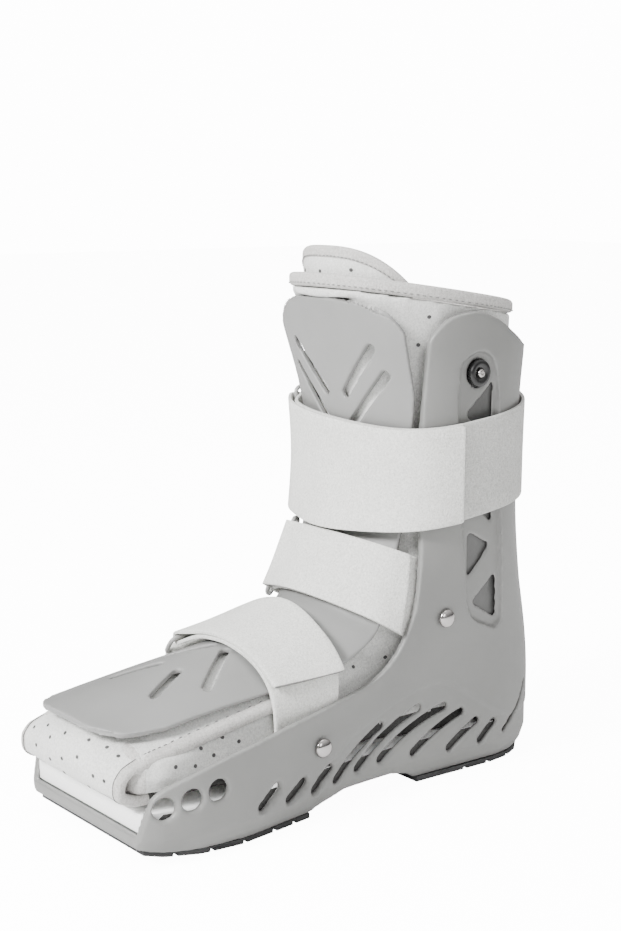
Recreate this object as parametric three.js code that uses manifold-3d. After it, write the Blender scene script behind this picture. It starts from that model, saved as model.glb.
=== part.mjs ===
import * as THREE from 'three';
import { mergeVertices } from 'three/addons/utils/BufferGeometryUtils.js';
import Module from 'manifold-3d';

const wasm = await Module();
wasm.setup();

// A short walking boot, in millimetres. Z is up from the floor, -Y runs to the toes, +X is the valve side.

// Driving sizes of the foot
const TOE_REACH = 200;
const HEEL_REACH = 84;
const FOOT_HEIGHT = 100;
const FOOT_HALF_WIDTH = 60;
const HEEL_HALF_WIDTH = 45;
const HEEL_HALF_DEPTH = 48;

// Driving sizes of the leg
const LEG_HEIGHT = 152;
const LEG_HALF_WIDTH = 57;
const LEG_HALF_DEPTH = 60.5;
const LEG_CENTRE = 7;
const LEG_SQUARENESS = 2.3;

// Shell
const WALL = 3.5;
const FLOOR_TOP = 13.5;
const TOE_LIP_TOP = 16;
const SLOT_WIDTH = 4.2;
const TOE_HOLE_DIAMETER = 11;
const CHANNEL_DEPTH = 1.9;

// Soft parts
const GAP = 0.35;
const SIDE_ROOM = 4.6;
const PAD = 5;
const INSOLE = 10;
const TREAD = 2.85;
const TREAD_INSET = 5;
const BINDING_WIDTH = 7.5;
const BINDING_PROUD = 0.6;
const COLLAR_TILT = 9;
const COLLAR_FLARE = 4.5;
const TONGUE_RISE = 15;
const FLAP = 4;
const AIR_CELL = 2.6;
const AIR_CELL_AREA = { fromY: 0.014, toY: 0.42, low: 0.83, high: 1.85 };
const TONGUE = { turn: 56, root: 1.72, thick: 4 };

// Plates
const PLATE = 3;
const PLATE_SLOT_WIDTH = 5;

// Straps, rings and fastenings
const STRAP = 2;
const RING_WIRE = 3;
const RING_SPAN = 10;
const RIVET_HEAD = 11.5;
const RIVET_DOME = 2.6;
const RIVET_SHANK = 5;
const VALVE_DIAMETER = 16;
const VALVE_PROUD = 2.2;
const VALVE_PIN_DIAMETER = 4.5;

// A share along the foot and a share of the height, as millimetres. Heights pass 1 where the leg starts.
const along = (share) => share * (share < 0 ? TOE_REACH : HEEL_REACH);
const height = (share) => (share <= 1 ? share * FOOT_HEIGHT : FOOT_HEIGHT + (share - 1) * LEG_HEIGHT);
const spot = ({ y, z }) => [along(y), height(z)];
const radians = THREE.MathUtils.degToRad;
const mix = THREE.MathUtils.lerp;
const smooth = THREE.MathUtils.smoothstep;

// Half of the foot's plan from the toe's middle to the instep, each point paired with a turn round the leg
const FOOT_PLAN = [
  { y: -1.0, half: 0.0, turn: 0 },
  { y: -1.0, half: 0.82, turn: 22 },
  { y: -0.985, half: 0.885, turn: 30 },
  { y: -0.94, half: 0.955, turn: 36 },
  { y: -0.84, half: 1.0, turn: 44 },
  { y: -0.71, half: 0.985, turn: 52 },
  { y: -0.565, half: 0.91, turn: 60 },
  { y: -0.45, half: 0.84, turn: 66 },
  { y: -0.31, half: 0.775, turn: 73 },
  { y: -0.15, half: 0.745, turn: 82 },
  { y: 0.0, half: 0.745, turn: 91 },
  { y: 0.2, half: 0.75, turn: 99 },
];
const HEEL_PLAN = [
  { sweep: 0, turn: 108 },
  { sweep: 18, turn: 120 },
  { sweep: 36, turn: 132 },
  { sweep: 54, turn: 147 },
  { sweep: 72, turn: 163 },
  { sweep: 90, turn: 180 },
];

// How far the shell draws in at its lower edge and grows toward its top
const SHELL_LEVELS = [
  { z: 0.0, inset: 7.0, grow: 1.0 },
  { z: 0.07, inset: 2.2, grow: 1.0 },
  { z: 0.14, inset: 0.0, grow: 1.0 },
  { z: 0.42, inset: 0.0, grow: 1.0 },
  { z: 0.88, inset: 0.0, grow: 0.98 },
  { z: 1.1, inset: 0.0, grow: 0.965 },
  { z: 1.33, inset: 0.0, grow: 0.955 },
  { z: 1.66, inset: 0.0, grow: 0.975 },
  { z: 1.86, inset: 0.0, grow: 1.02 },
  { z: 2.06, inset: 0.0, grow: 1.05 },
];
const LEG_STARTS = 0.42;
const LEG_WHOLE = 1.33;

// The shell's side outline: under the sole, up the back, over the upright and down its front to the toe
const SOLE_LINE = [
  { y: -1.0, z: 0.095 },
  { y: -0.92, z: 0.068 },
  { y: -0.82, z: 0.045 },
  { y: -0.7, z: 0.032 },
  { y: -0.47, z: 0.032 },
  { y: -0.435, z: 0.06 },
  { y: -0.36, z: 0.096 },
  { y: -0.19, z: 0.096 },
  { y: -0.13, z: 0.07 },
  { y: -0.1, z: 0.032 },
  { y: 0.9, z: 0.032 },
  { y: 1.06, z: 0.06 },
];
const RIM_LINE = [
  { y: 1.06, z: 1.84 },
  { y: 0.62, z: 1.865 },
  { y: 0.45, z: 1.905 },
  { y: 0.2, z: 1.975 },
  { y: 0.04, z: 1.998 },
  { y: -0.05, z: 1.985 },
  { y: -0.095, z: 1.945 },
  { y: -0.118, z: 1.89 },
  { y: -0.124, z: 1.64 },
  { y: -0.126, z: 1.28 },
  { y: -0.137, z: 1.12 },
  { y: -0.15, z: 1.0 },
  { y: -0.168, z: 0.885 },
  { y: -0.195, z: 0.77 },
  { y: -0.24, z: 0.68 },
  { y: -0.29, z: 0.63 },
  { y: -0.36, z: 0.6 },
  { y: -0.45, z: 0.568 },
  { y: -0.6, z: 0.53 },
  { y: -0.76, z: 0.48 },
  { y: -0.85, z: 0.441 },
  { y: -0.93, z: 0.392 },
  { y: -0.962, z: 0.355 },
  { y: -0.975, z: 0.29 },
  { y: -0.99, z: 0.18 },
  { y: -0.998, z: 0.115 },
];

// Slots in the sides, from their lower to their upper end, with how far their middle bows up
const SIDE_SLOTS = [
  { y: -0.661, z: 0.174, toY: -0.61, toZ: 0.248, bow: 0 },
  { y: -0.566, z: 0.161, toY: -0.515, toZ: 0.222, bow: 0 },
  { y: -0.475, z: 0.158, toY: -0.417, toZ: 0.243, bow: 0.5 },
  { y: -0.395, z: 0.167, toY: -0.234, toZ: 0.38, bow: 1.5 },
  { y: -0.318, z: 0.191, toY: -0.103, toZ: 0.424, bow: 2.5 },
  { y: -0.237, z: 0.202, toY: -0.011, toZ: 0.399, bow: 2.5 },
  { y: -0.119, z: 0.188, toY: 0.119, toZ: 0.347, bow: 1.5 },
  { y: 0.021, z: 0.162, toY: 0.25, toZ: 0.276, bow: 0.5 },
  { y: 0.288, z: 0.161, toY: 0.402, toZ: 0.244, bow: 0 },
];
const HEEL_SLIT = { y: 0.495, z: 0.182, toY: 0.751, toZ: 0.417, bow: -1.5 };
const HEEL_SLIT_WIDTH = 2.4;
const TOE_HOLES = [
  { y: -0.938, z: 0.29 },
  { y: -0.868, z: 0.311 },
  { y: -0.795, z: 0.328 },
];

// The upright's channel and the truss of windows in it
const CHANNEL = [
  { y: -0.028, z: 1.831 },
  { y: -0.03, z: 1.7 },
  { y: -0.027, z: 1.63 },
  { y: -0.008, z: 1.25 },
  { y: 0.065, z: 0.96 },
  { y: 0.135, z: 0.868 },
  { y: 0.35, z: 0.79 },
  { y: 0.4, z: 0.83 },
  { y: 0.365, z: 1.06 },
  { y: 0.27, z: 1.72 },
  { y: 0.21, z: 1.835 },
  { y: 0.09, z: 1.868 },
];
const WINDOWS = [
  [{ y: 0.235, z: 1.757 }, { y: 0.222, z: 1.56 }, { y: 0.008, z: 1.645 }],
  [{ y: 0.005, z: 1.575 }, { y: 0.19, z: 1.5 }, { y: 0.012, z: 1.415 }],
  [{ y: 0.235, z: 1.455 }, { y: 0.255, z: 1.257 }, { y: 0.045, z: 1.36 }],
  [{ y: 0.045, z: 1.236 }, { y: 0.245, z: 1.18 }, { y: 0.065, z: 1.07 }],
  [{ y: 0.318, z: 1.072 }, { y: 0.36, z: 0.852 }, { y: 0.122, z: 0.966 }],
];
const WINDOW_ROUND = 2;
const VALVE = { y: 0.09, z: 1.787 };
const RIVETS = { ankle: { y: -0.0485, z: 0.916 }, forefoot: { y: -0.454, z: 0.375 } };

// The line along the middle of the plates' outer face, with their half width and how far their edges drop
const FRONT_LINE = [
  { y: -1.0, z: 0.66, half: 41, drop: 3 },
  { y: -0.97, z: 0.672, half: 42, drop: 5 },
  { y: -0.79, z: 0.765, half: 42, drop: 11 },
  { y: -0.585, z: 0.832, half: 42, drop: 14 },
  { y: -0.45, z: 0.885, half: 43, drop: 16 },
  { y: -0.375, z: 0.935, half: 44, drop: 17 },
  { y: -0.322, z: 1.01, half: 44, drop: 19 },
  { y: -0.27, z: 1.12, half: 42, drop: 16 },
  { y: -0.208, z: 1.25, half: 39.5, drop: 10 },
  { y: -0.193, z: 1.38, half: 41, drop: 11 },
  { y: -0.191, z: 1.52, half: 43, drop: 9.5 },
  { y: -0.213, z: 1.7, half: 48.5, drop: 12.2 },
  { y: -0.254, z: 1.9, half: 50, drop: 13 },
  { y: -0.277, z: 2.04, half: 47, drop: 14 },
];
const PLATE_SPANS = {
  foot: { from: 0, to: 0.66, roundFrom: 0.055, roundTo: 0.02 },
  shin: { from: 0.69, to: 1, roundFrom: 0.02, roundTo: 0.05 },
};
const FOOT_PLATE_SLOTS = [
  { x: 19, y: -0.846, toX: 8.2, toY: -0.744 },
  { x: 28, y: -0.722, toX: 6, toY: -0.593 },
];
const SHIN_PLATE_SLOTS = [
  { x: 8, z: 1.714, toX: 31, toZ: 1.876 },
  { x: 10.5, z: 1.612, toX: 36, toZ: 1.787 },
];

// The liner's leg: its front, and how far its sides stand in from the shell
const LINER_LEG = [
  { z: 0.245, front: -0.3 },
  { z: 0.5, front: -0.37 },
  { z: 0.8, front: -0.37 },
  { z: 0.93, front: -0.335 },
  { z: 1.05, front: -0.275 },
  { z: 1.22, front: -0.205 },
  { z: 1.45, front: -0.183 },
  { z: 1.7, front: -0.203 },
  { z: 1.88, front: -0.243 },
  { z: 2.0, front: -0.285 },
];

// The liner's foot: crown, underside and half width
const LINER_FOOT = [
  { y: -0.955, crown: 0.5, under: 0.345, half: 0.62 },
  { y: -0.94, crown: 0.55, under: 0.33, half: 0.7 },
  { y: -0.88, crown: 0.58, under: 0.325, half: 0.77 },
  { y: -0.84, crown: 0.6, under: 0.275, half: 0.79 },
  { y: -0.7, crown: 0.655, under: 0.245, half: 0.785 },
  { y: -0.56, crown: 0.715, under: 0.245, half: 0.75 },
  { y: -0.46, crown: 0.81, under: 0.245, half: 0.7 },
  { y: -0.32, crown: 0.9, under: 0.245, half: 0.655 },
  { y: 0.0, crown: 0.88, under: 0.245, half: 0.6 },
];

// The flap that rolls over the toes: its middle line, half width and how far its sides drop
const TOE_FLAP = [
  { y: -0.56, z: 0.755, half: 0.74, drop: 15 },
  { y: -0.75, z: 0.692, half: 0.76, drop: 16 },
  { y: -0.9, z: 0.648, half: 0.79, drop: 15 },
  { y: -0.985, z: 0.605, half: 0.8, drop: 14 },
  { y: -1.035, z: 0.53, half: 0.8, drop: 9 },
  { y: -1.05, z: 0.43, half: 0.8, drop: 4 },
  { y: -1.035, z: 0.34, half: 0.79, drop: 1 },
  { y: -0.99, z: 0.3, half: 0.78, drop: 0 },
  { y: -0.93, z: 0.29, half: 0.76, drop: 0 },
];
const FLAP_BINDING_SHARE = 0.16;

// Straps: the planes of their edges, and where along the girth they start, fold and end
const CALF_BAND = {
  low: { z: 1.292, across: 0.015, back: 0.12 },
  high: { z: 1.657, across: -0.07, back: 0.1 },
  ring: 150,
  cut: 13,
};
const FOREFOOT_BAND = { front: -0.588, back: -0.385, middle: 0.45, start: -19, exit: 22, ring: 140, cut: 30 };
const ANKLE_BAND = {
  low: { y: -0.1, z: 0.76, towardY: -0.335, towardZ: 1.028 },
  high: { y: -0.055, z: 1.125, towardY: -0.26, towardZ: 1.243 },
  start: -14,
  exit: 25,
  ring: 138,
  cut: 24,
};
const STRAP_STEP = 12;
const STRAP_SPREAD = 6;
const ANCHOR_TAIL = 6;
const STRAP_CLEAR = 1;

// Joins and cuts
function solid(points, triangles) {
  const a = new THREE.Vector3();
  const b = new THREE.Vector3();
  const c = new THREE.Vector3();
  let volume = 0;
  for (const [i, j, k] of triangles) {
    a.set(...points[i]);
    b.set(...points[j]);
    c.set(...points[k]);
    volume += a.dot(b.cross(c));
  }
  const faces = volume < 0 ? triangles.map(([i, j, k]) => [i, k, j]) : triangles;
  return new wasm.Manifold(new wasm.Mesh({
    numProp: 3,
    vertProperties: new Float32Array(points.flat()),
    triVerts: new Uint32Array(faces.flat()),
  }));
}

function solidOf(geometry) {
  const bare = geometry.clone();
  bare.deleteAttribute('normal');
  bare.deleteAttribute('uv');
  const merged = mergeVertices(bare, 1e-4);
  return new wasm.Manifold(new wasm.Mesh({
    numProp: 3,
    vertProperties: new Float32Array(merged.attributes.position.array),
    triVerts: new Uint32Array(merged.index.array),
  }));
}

function geometryOf(body) {
  const mesh = body.getMesh();
  const geometry = new THREE.BufferGeometry();
  geometry.setAttribute('position', new THREE.BufferAttribute(new Float32Array(mesh.vertProperties), 3));
  geometry.setIndex(new THREE.BufferAttribute(new Uint32Array(mesh.triVerts), 1));
  geometry.computeVertexNormals();
  return geometry;
}

// The main body of a cut solid, without the slivers that a grazing cut leaves
function largest(body) {
  return body.decompose().reduce((best, next) => (next.volume() > best.volume() ? next : best));
}

// A solid through rings with the same number of points, closed by a fan at each end
function stack(rings) {
  const count = rings[0].length;
  const points = rings.flat();
  const triangles = [];
  for (let level = 0; level + 1 < rings.length; level += 1) {
    for (let i = 0; i < count; i += 1) {
      const a = level * count + i;
      const b = level * count + ((i + 1) % count);
      triangles.push([a, b, b + count], [a, b + count, a + count]);
    }
  }
  for (const [start, turned] of [[0, true], [(rings.length - 1) * count, false]]) {
    const ring = points.slice(start, start + count);
    const middle = [0, 1, 2].map((axis) => ring.reduce((sum, point) => sum + point[axis], 0) / count);
    points.push(middle);
    for (let i = 0; i < count; i += 1) {
      const edge = [start + i, start + ((i + 1) % count)];
      triangles.push(turned ? [points.length - 1, edge[1], edge[0]] : [points.length - 1, edge[0], edge[1]]);
    }
  }
  return solid(points, triangles);
}

// A sheet between two surfaces, each a function of two shares; a round one closes on itself along the first
function sheet(outer, inner, steps, rows, round = false) {
  const columns = round ? steps : steps + 1;
  const points = [];
  for (const surface of [outer, inner]) {
    for (let i = 0; i < columns; i += 1) {
      for (let j = 0; j <= rows; j += 1) {
        points.push(surface(i / steps, j / rows));
      }
    }
  }
  const half = columns * (rows + 1);
  const at = (side, i, j) => side * half + (i % columns) * (rows + 1) + j;
  const triangles = [];
  const face = (a, b, c, d) => triangles.push([a, b, c], [a, c, d]);
  for (let i = 0; i < steps; i += 1) {
    for (let j = 0; j < rows; j += 1) {
      face(at(0, i, j), at(0, i + 1, j), at(0, i + 1, j + 1), at(0, i, j + 1));
      face(at(1, i, j), at(1, i, j + 1), at(1, i + 1, j + 1), at(1, i + 1, j));
    }
    face(at(0, i, 0), at(1, i, 0), at(1, i + 1, 0), at(0, i + 1, 0));
    face(at(0, i, rows), at(0, i + 1, rows), at(1, i + 1, rows), at(1, i, rows));
  }
  if (!round) {
    for (let j = 0; j < rows; j += 1) {
      face(at(0, 0, j), at(0, 0, j + 1), at(1, 0, j + 1), at(1, 0, j));
      face(at(0, steps, j), at(1, steps, j), at(1, steps, j + 1), at(0, steps, j + 1));
    }
  }
  return solid(points, triangles);
}

// An outline in the side view, given as (y, z), made solid from one x to another
function sidePrism(outline, fromX, toX) {
  const shape = new THREE.Shape(outline.map(([y, z]) => new THREE.Vector2(y, z)));
  const geometry = new THREE.ExtrudeGeometry(shape, { depth: toX - fromX, bevelEnabled: false });
  const turn = new THREE.Matrix4().set(0, 0, 1, fromX, 1, 0, 0, 0, 0, 1, 0, 0, 0, 0, 0, 1);
  geometry.applyMatrix4(turn);
  return solidOf(geometry);
}

// A slot's outline from one point to another, with round ends and a bowed middle
function slotOutline(start, end, width, bow = 0) {
  const line = new THREE.Vector2(end[0] - start[0], end[1] - start[1]);
  const side = new THREE.Vector2(-line.y, line.x).normalize();
  const middle = [(start[0] + end[0]) / 2 + side.x * bow, (start[1] + end[1]) / 2 + side.y * bow];
  const spine = bow ? [start, middle, end] : [start, end];
  const points = [];
  const cap = (centre, facing) => {
    for (let step = 0; step <= 2; step += 1) {
      const angle = facing - Math.PI / 2 + (step * Math.PI) / 2;
      points.push([centre[0] + Math.cos(angle) * width / 2, centre[1] + Math.sin(angle) * width / 2]);
    }
  };
  const heading = (a, b) => Math.atan2(b[1] - a[1], b[0] - a[0]);
  cap(end, heading(spine[spine.length - 2], end));
  if (bow) {
    points.push([middle[0] + side.x * width / 2, middle[1] + side.y * width / 2]);
  }
  cap(start, heading(spine[1], start));
  if (bow) {
    points.push([middle[0] - side.x * width / 2, middle[1] - side.y * width / 2]);
  }
  return points;
}

function circleOutline([y, z], diameter, sides) {
  return Array.from({ length: sides }, (_, i) => [
    y + Math.cos((i * 2 * Math.PI) / sides) * diameter / 2,
    z + Math.sin((i * 2 * Math.PI) / sides) * diameter / 2,
  ]);
}

// An outline with each corner cut to three points on a round
function roundCorners(outline, radius) {
  const points = [];
  outline.forEach((corner, i) => {
    const here = new THREE.Vector2(...corner);
    const before = new THREE.Vector2(...outline[(i + outline.length - 1) % outline.length]).sub(here);
    const after = new THREE.Vector2(...outline[(i + 1) % outline.length]).sub(here);
    const reach = Math.min(radius * 1.6, before.length() / 2.2, after.length() / 2.2);
    const from = here.clone().add(before.setLength(reach));
    const to = here.clone().add(after.setLength(reach));
    const mid = from.clone().add(to).multiplyScalar(0.35).add(here.clone().multiplyScalar(0.3));
    points.push([from.x, from.y], [mid.x, mid.y], [to.x, to.y]);
  });
  return points;
}

// A value read off a table by a key that grows down the table
function read(table, key, at, column) {
  let row = 0;
  while (row < table.length - 2 && at > table[row + 1][key]) {
    row += 1;
  }
  const share = (at - table[row][key]) / (table[row + 1][key] - table[row][key]);
  return mix(table[row][column], table[row + 1][column], THREE.MathUtils.clamp(share, 0, 1));
}

function power(value, exponent) {
  return Math.sign(value) * Math.abs(value) ** exponent;
}

// The shell's horizontal section at one of its levels, stepped in by a distance
function shellSection({ z, inset: draw, grow }, inset) {
  const legShare = smooth(z, LEG_STARTS, LEG_WHOLE);
  const edge = inset + draw;
  const heelCentre = HEEL_REACH - HEEL_HALF_DEPTH;
  const foot = [
    ...FOOT_PLAN.map(({ y, half, turn }) => [half * FOOT_HALF_WIDTH, along(y), turn]),
    ...HEEL_PLAN.map(({ sweep, turn }) => [
      Math.cos(radians(sweep)) * HEEL_HALF_WIDTH,
      heelCentre + Math.sin(radians(sweep)) * HEEL_HALF_DEPTH,
      turn,
    ]),
  ];
  const half = foot.map(([x, y, turn]) => {
    const legX = power(Math.sin(radians(turn)), 2 / LEG_SQUARENESS) * LEG_HALF_WIDTH * mix(1, grow, 0.5);
    const legY = LEG_CENTRE - power(Math.cos(radians(turn)), 2 / LEG_SQUARENESS) * LEG_HALF_DEPTH * grow;
    return [mix(x, legX, legShare), mix(y, legY, legShare)];
  });
  const mirrored = half.slice(1, -1).reverse().map(([x, y]) => [-x, y]);
  const ring = [...half, ...mirrored];
  return ring.map(([x, y], i) => {
    const before = ring[(i + ring.length - 1) % ring.length];
    const after = ring[(i + 1) % ring.length];
    const normal = new THREE.Vector2(after[1] - before[1], before[0] - after[0]).normalize();
    return [x - normal.x * edge, y - normal.y * edge];
  });
}

function shellLoft(inset) {
  return stack(SHELL_LEVELS.map((row) => shellSection(row, inset).map(([x, y]) => [x, y, height(row.z)])));
}

// The same section at any height, on the straight lines between two levels
function shellRing(level, inset) {
  let row = 0;
  while (row < SHELL_LEVELS.length - 2 && level > SHELL_LEVELS[row + 1].z) {
    row += 1;
  }
  const [below, above] = [SHELL_LEVELS[row], SHELL_LEVELS[row + 1]];
  const share = (height(level) - height(below.z)) / (height(above.z) - height(below.z));
  const upper = shellSection(above, inset);
  return shellSection(below, inset).map(([x, y], i) => [mix(x, upper[i][0], share), mix(y, upper[i][1], share)]);
}

// The shell's half width at a place in the side view
function shellHalf(y, level, inset) {
  const ring = shellRing(level, inset);
  const side = ring.slice(0, ring.length / 2 + 1);
  for (let i = 1; i < side.length; i += 1) {
    if (side[i][1] >= y && side[i - 1][1] < y) {
      const share = (y - side[i - 1][1]) / (side[i][1] - side[i - 1][1]);
      return mix(side[i - 1][0], side[i][0], share);
    }
  }
  return 0;
}

// The shell
const BEYOND = 2 * LEG_HALF_WIDTH;
const eachSide = (outline) => [
  sidePrism(outline, HEEL_HALF_WIDTH / 2, BEYOND),
  sidePrism(outline, -BEYOND, -HEEL_HALF_WIDTH / 2),
];
const shellOuter = shellLoft(0);
const cavityOutline = [
  [along(-1.2), TOE_LIP_TOP],
  [along(-0.72), FLOOR_TOP],
  [along(1.2), FLOOR_TOP],
  [along(1.2), height(2.2)],
  [along(-1.2), height(2.2)],
];
const cavity = shellLoft(WALL).intersect(sidePrism(cavityOutline, -BEYOND, BEYOND));
const silhouette = sidePrism([...SOLE_LINE, ...RIM_LINE].map(spot), -BEYOND, BEYOND);
let shell = shellOuter.intersect(silhouette).subtract(cavity);

const toeHalf = shellRing(0.28, WALL)[1][0];
const toeOpening = [
  [-toeHalf, along(-1.1), TOE_LIP_TOP],
  [toeHalf, along(-1.1), TOE_LIP_TOP],
  [toeHalf, along(-0.96), TOE_LIP_TOP],
  [-toeHalf, along(-0.96), TOE_LIP_TOP],
];
shell = shell.subtract(stack([toeOpening, toeOpening.map(([x, y]) => [x, y, height(0.6)])]));

const channelBed = shellLoft(CHANNEL_DEPTH);
const cutters = [];
for (const side of eachSide(CHANNEL.map(spot))) {
  cutters.push(side.subtract(channelBed));
}
for (const corners of WINDOWS) {
  cutters.push(...eachSide(roundCorners(corners.map(spot), WINDOW_ROUND)));
}
for (const slot of [...SIDE_SLOTS, HEEL_SLIT]) {
  const width = slot === HEEL_SLIT ? HEEL_SLIT_WIDTH : SLOT_WIDTH;
  const start = spot(slot);
  const end = spot({ y: slot.toY, z: slot.toZ });
  cutters.push(...eachSide(slotOutline(start, end, width, slot.bow)));
}
for (const hole of TOE_HOLES) {
  cutters.push(...eachSide(circleOutline(spot(hole), TOE_HOLE_DIAMETER, 8)));
}
for (const rivet of Object.values(RIVETS)) {
  cutters.push(...eachSide(circleOutline(spot(rivet), RIVET_SHANK + 2 * GAP, 8)));
}
cutters.push(eachSide(circleOutline(spot(VALVE), VALVE_DIAMETER + 2 * GAP, 16))[0]);
shell = largest(shell.subtract(cutters.reduce((sum, cutter) => sum.add(cutter))));

// The treads follow the sole line a gap below it
function tread(fromY, toY, grooves) {
  const line = SOLE_LINE.filter(({ y }) => y > fromY && y < toY);
  const ends = [fromY, ...line.map(({ y }) => y), toY];
  const solePoint = (y) => [along(y), height(read(SOLE_LINE, 'y', y, 'z')) - GAP];
  const upper = ends.map(solePoint);
  const lower = upper.map(([y, z]) => [y, z - TREAD]).reverse();
  const band = sidePrism([...upper, ...lower], -BEYOND, BEYOND);
  const ring = shellRing(0.14, TREAD_INSET);
  const plan = stack([0, 1].map((top) => ring.map(([x, y]) => [x, y, top ? height(0.2) : -height(0.05)])));
  let piece = band.intersect(plan);
  for (const y of grooves) {
    const [middle, top] = solePoint(y);
    const outline = [
      [middle - 1.5, top - TREAD - 1],
      [middle + 1.5, top - TREAD - 1],
      [middle + 1, top - TREAD + 1.6],
      [middle - 1, top - TREAD + 1.6],
    ];
    piece = piece.subtract(sidePrism(outline, -BEYOND, BEYOND));
  }
  return piece;
}
const forefootTread = tread(-0.985, -0.475, [-0.9, -0.8, -0.7, -0.6, -0.53]);
const heelTread = tread(-0.09, 0.88, [0.2, 0.4, 0.6]);

// The insole lies on the floor
const insoleBand = sidePrism([
  [along(-0.985), TOE_LIP_TOP + GAP],
  [along(-0.72), FLOOR_TOP + GAP],
  [along(0.95), FLOOR_TOP + GAP],
  [along(0.95), FLOOR_TOP + INSOLE],
  [along(-0.72), FLOOR_TOP + INSOLE],
  [along(-0.985), TOE_LIP_TOP + INSOLE],
], -BEYOND, BEYOND);
const insoleRing = shellRing(0.2, WALL + GAP);
const insole = insoleBand.intersect(
  stack([0, 0.5].map((level) => insoleRing.map(([x, y]) => [x, y, height(level)]))),
);

// The front line, its outward normal and the plates' edge values at a share of its run
const frontCurve = new THREE.CatmullRomCurve3(FRONT_LINE.map((row) => new THREE.Vector3(0, ...spot(row))));
function frontPoint(share, across, offset) {
  const middle = frontCurve.getPoint(share);
  const tangent = frontCurve.getTangent(share);
  const row = share * (FRONT_LINE.length - 1);
  const index = Math.min(Math.floor(row), FRONT_LINE.length - 2);
  const half = mix(FRONT_LINE[index].half, FRONT_LINE[index + 1].half, row - index);
  const drop = mix(FRONT_LINE[index].drop, FRONT_LINE[index + 1].drop, row - index);
  const lean = Math.atan2(2 * drop * across, half);
  const fall = drop * across * across - offset * Math.cos(lean);
  return [
    across * half + Math.sin(lean) * offset,
    middle.y + tangent.z * fall,
    middle.z - tangent.y * fall,
  ];
}
function plateSheet({ from, to, roundFrom, roundTo }, outward, inward, steps, spare = 0) {
  const surface = (offset) => (u, v) => {
    const across = Math.sin((v - 0.5) * Math.PI) * (1 + 2 * spare);
    const start = from - spare + roundFrom * across ** 8;
    const end = to + spare - roundTo * (across ** 8 + 0.4 * across ** 2);
    return frontPoint(THREE.MathUtils.clamp(mix(start, end, u), 0, 1), across, offset);
  };
  return sheet(surface(outward), surface(-inward), steps, 6);
}
let footPlate = plateSheet(PLATE_SPANS.foot, 0, PLATE, 12);
let shinPlate = plateSheet(PLATE_SPANS.shin, 0, PLATE, 8);
const plateRoom = [
  plateSheet(PLATE_SPANS.foot, PLATE, PLATE + 2 * GAP, 12, 0.014),
  plateSheet(PLATE_SPANS.shin, PLATE, PLATE + 2 * GAP, 8, 0.014),
];

// Slots through the plates, cut downward on the foot and backward on the shin
function plateSlot(outline, place) {
  return stack([0, 1].map((level) => outline.map(([u, v]) => place(u, v, level))));
}
for (const slot of FOOT_PLATE_SLOTS) {
  for (const side of [1, -1]) {
    const outline = slotOutline([side * slot.x, along(slot.y)], [side * slot.toX, along(slot.toY)], PLATE_SLOT_WIDTH);
    footPlate = footPlate.subtract(plateSlot(outline, (u, v, level) => [u, v, height(0.5 + level * 0.6)]));
  }
}
for (const slot of SHIN_PLATE_SLOTS) {
  for (const side of [1, -1]) {
    const outline = slotOutline([side * slot.x, height(slot.z)], [side * slot.toX, height(slot.toZ)], PLATE_SLOT_WIDTH);
    shinPlate = shinPlate.subtract(plateSlot(outline, (u, v, level) => [u, along(-0.5 + level * 0.45), v]));
  }
}

// A point on the liner's leg: the shell's section stepped in, with its own front. An angle of 0 is the front.
const LEG_POINTS = 20;
const COLLAR_TOP = 2.06;
function legPoint(level, angle, inset, lift = 0) {
  const within = Math.min(level, 2);
  const front = along(read(LINER_LEG, 'z', within, 'front')) + inset;
  const step = WALL + SIDE_ROOM + inset;
  const back = Math.max(...shellRing(within, step).map(([, y]) => y));
  const centre = mix(front, back, 0.53);
  const half = shellHalf(centre, within, step);
  const flare = smooth(level, 1.9, 2.1) * COLLAR_FLARE;
  const tilt = smooth(level, 1.6, 2.05) * Math.tan(radians(COLLAR_TILT));
  const reach = Math.cos(angle) > 0 ? centre - front : back - centre;
  const x = power(Math.sin(angle), 0.9) * (half + flare);
  const y = centre - power(Math.cos(angle), 0.9) * (reach + flare * (Math.cos(angle) > 0 ? 0.3 : -0.5));
  return [x, y, height(level) + lift + (centre - y) * tilt];
}

function linerLeg(inset, topLift) {
  const levels = [...LINER_LEG.map(({ z }) => z), COLLAR_TOP];
  return stack(levels.map((z, i) => Array.from({ length: LEG_POINTS }, (_, k) => {
    const lift = i === 0 ? inset : (z === COLLAR_TOP ? topLift : 0);
    return legPoint(z, (k * 2 * Math.PI) / LEG_POINTS, inset, lift);
  })));
}

const FOOT_POINTS = 16;
function linerFootRing(row, inset) {
  const crown = height(row.crown) - inset;
  const under = height(row.under) + inset;
  const half = row.half * FOOT_HALF_WIDTH - inset;
  const waist = mix(under, crown, 0.35);
  return Array.from({ length: FOOT_POINTS }, (_, i) => {
    const angle = (i * 2 * Math.PI) / FOOT_POINTS;
    const upper = Math.sin(angle) > 0;
    const exponent = upper ? 0.8 : 0.35;
    const z = waist + power(Math.sin(angle), exponent) * (upper ? crown - waist : waist - under);
    return [power(Math.cos(angle), upper ? 0.8 : 0.5) * half, along(row.y), z];
  });
}
function linerFoot(inset) {
  const rings = LINER_FOOT.map((row) => linerFootRing(row, inset));
  rings[0] = rings[0].map(([x, y, z]) => [x, y + inset, z]);
  return stack(rings);
}

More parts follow.
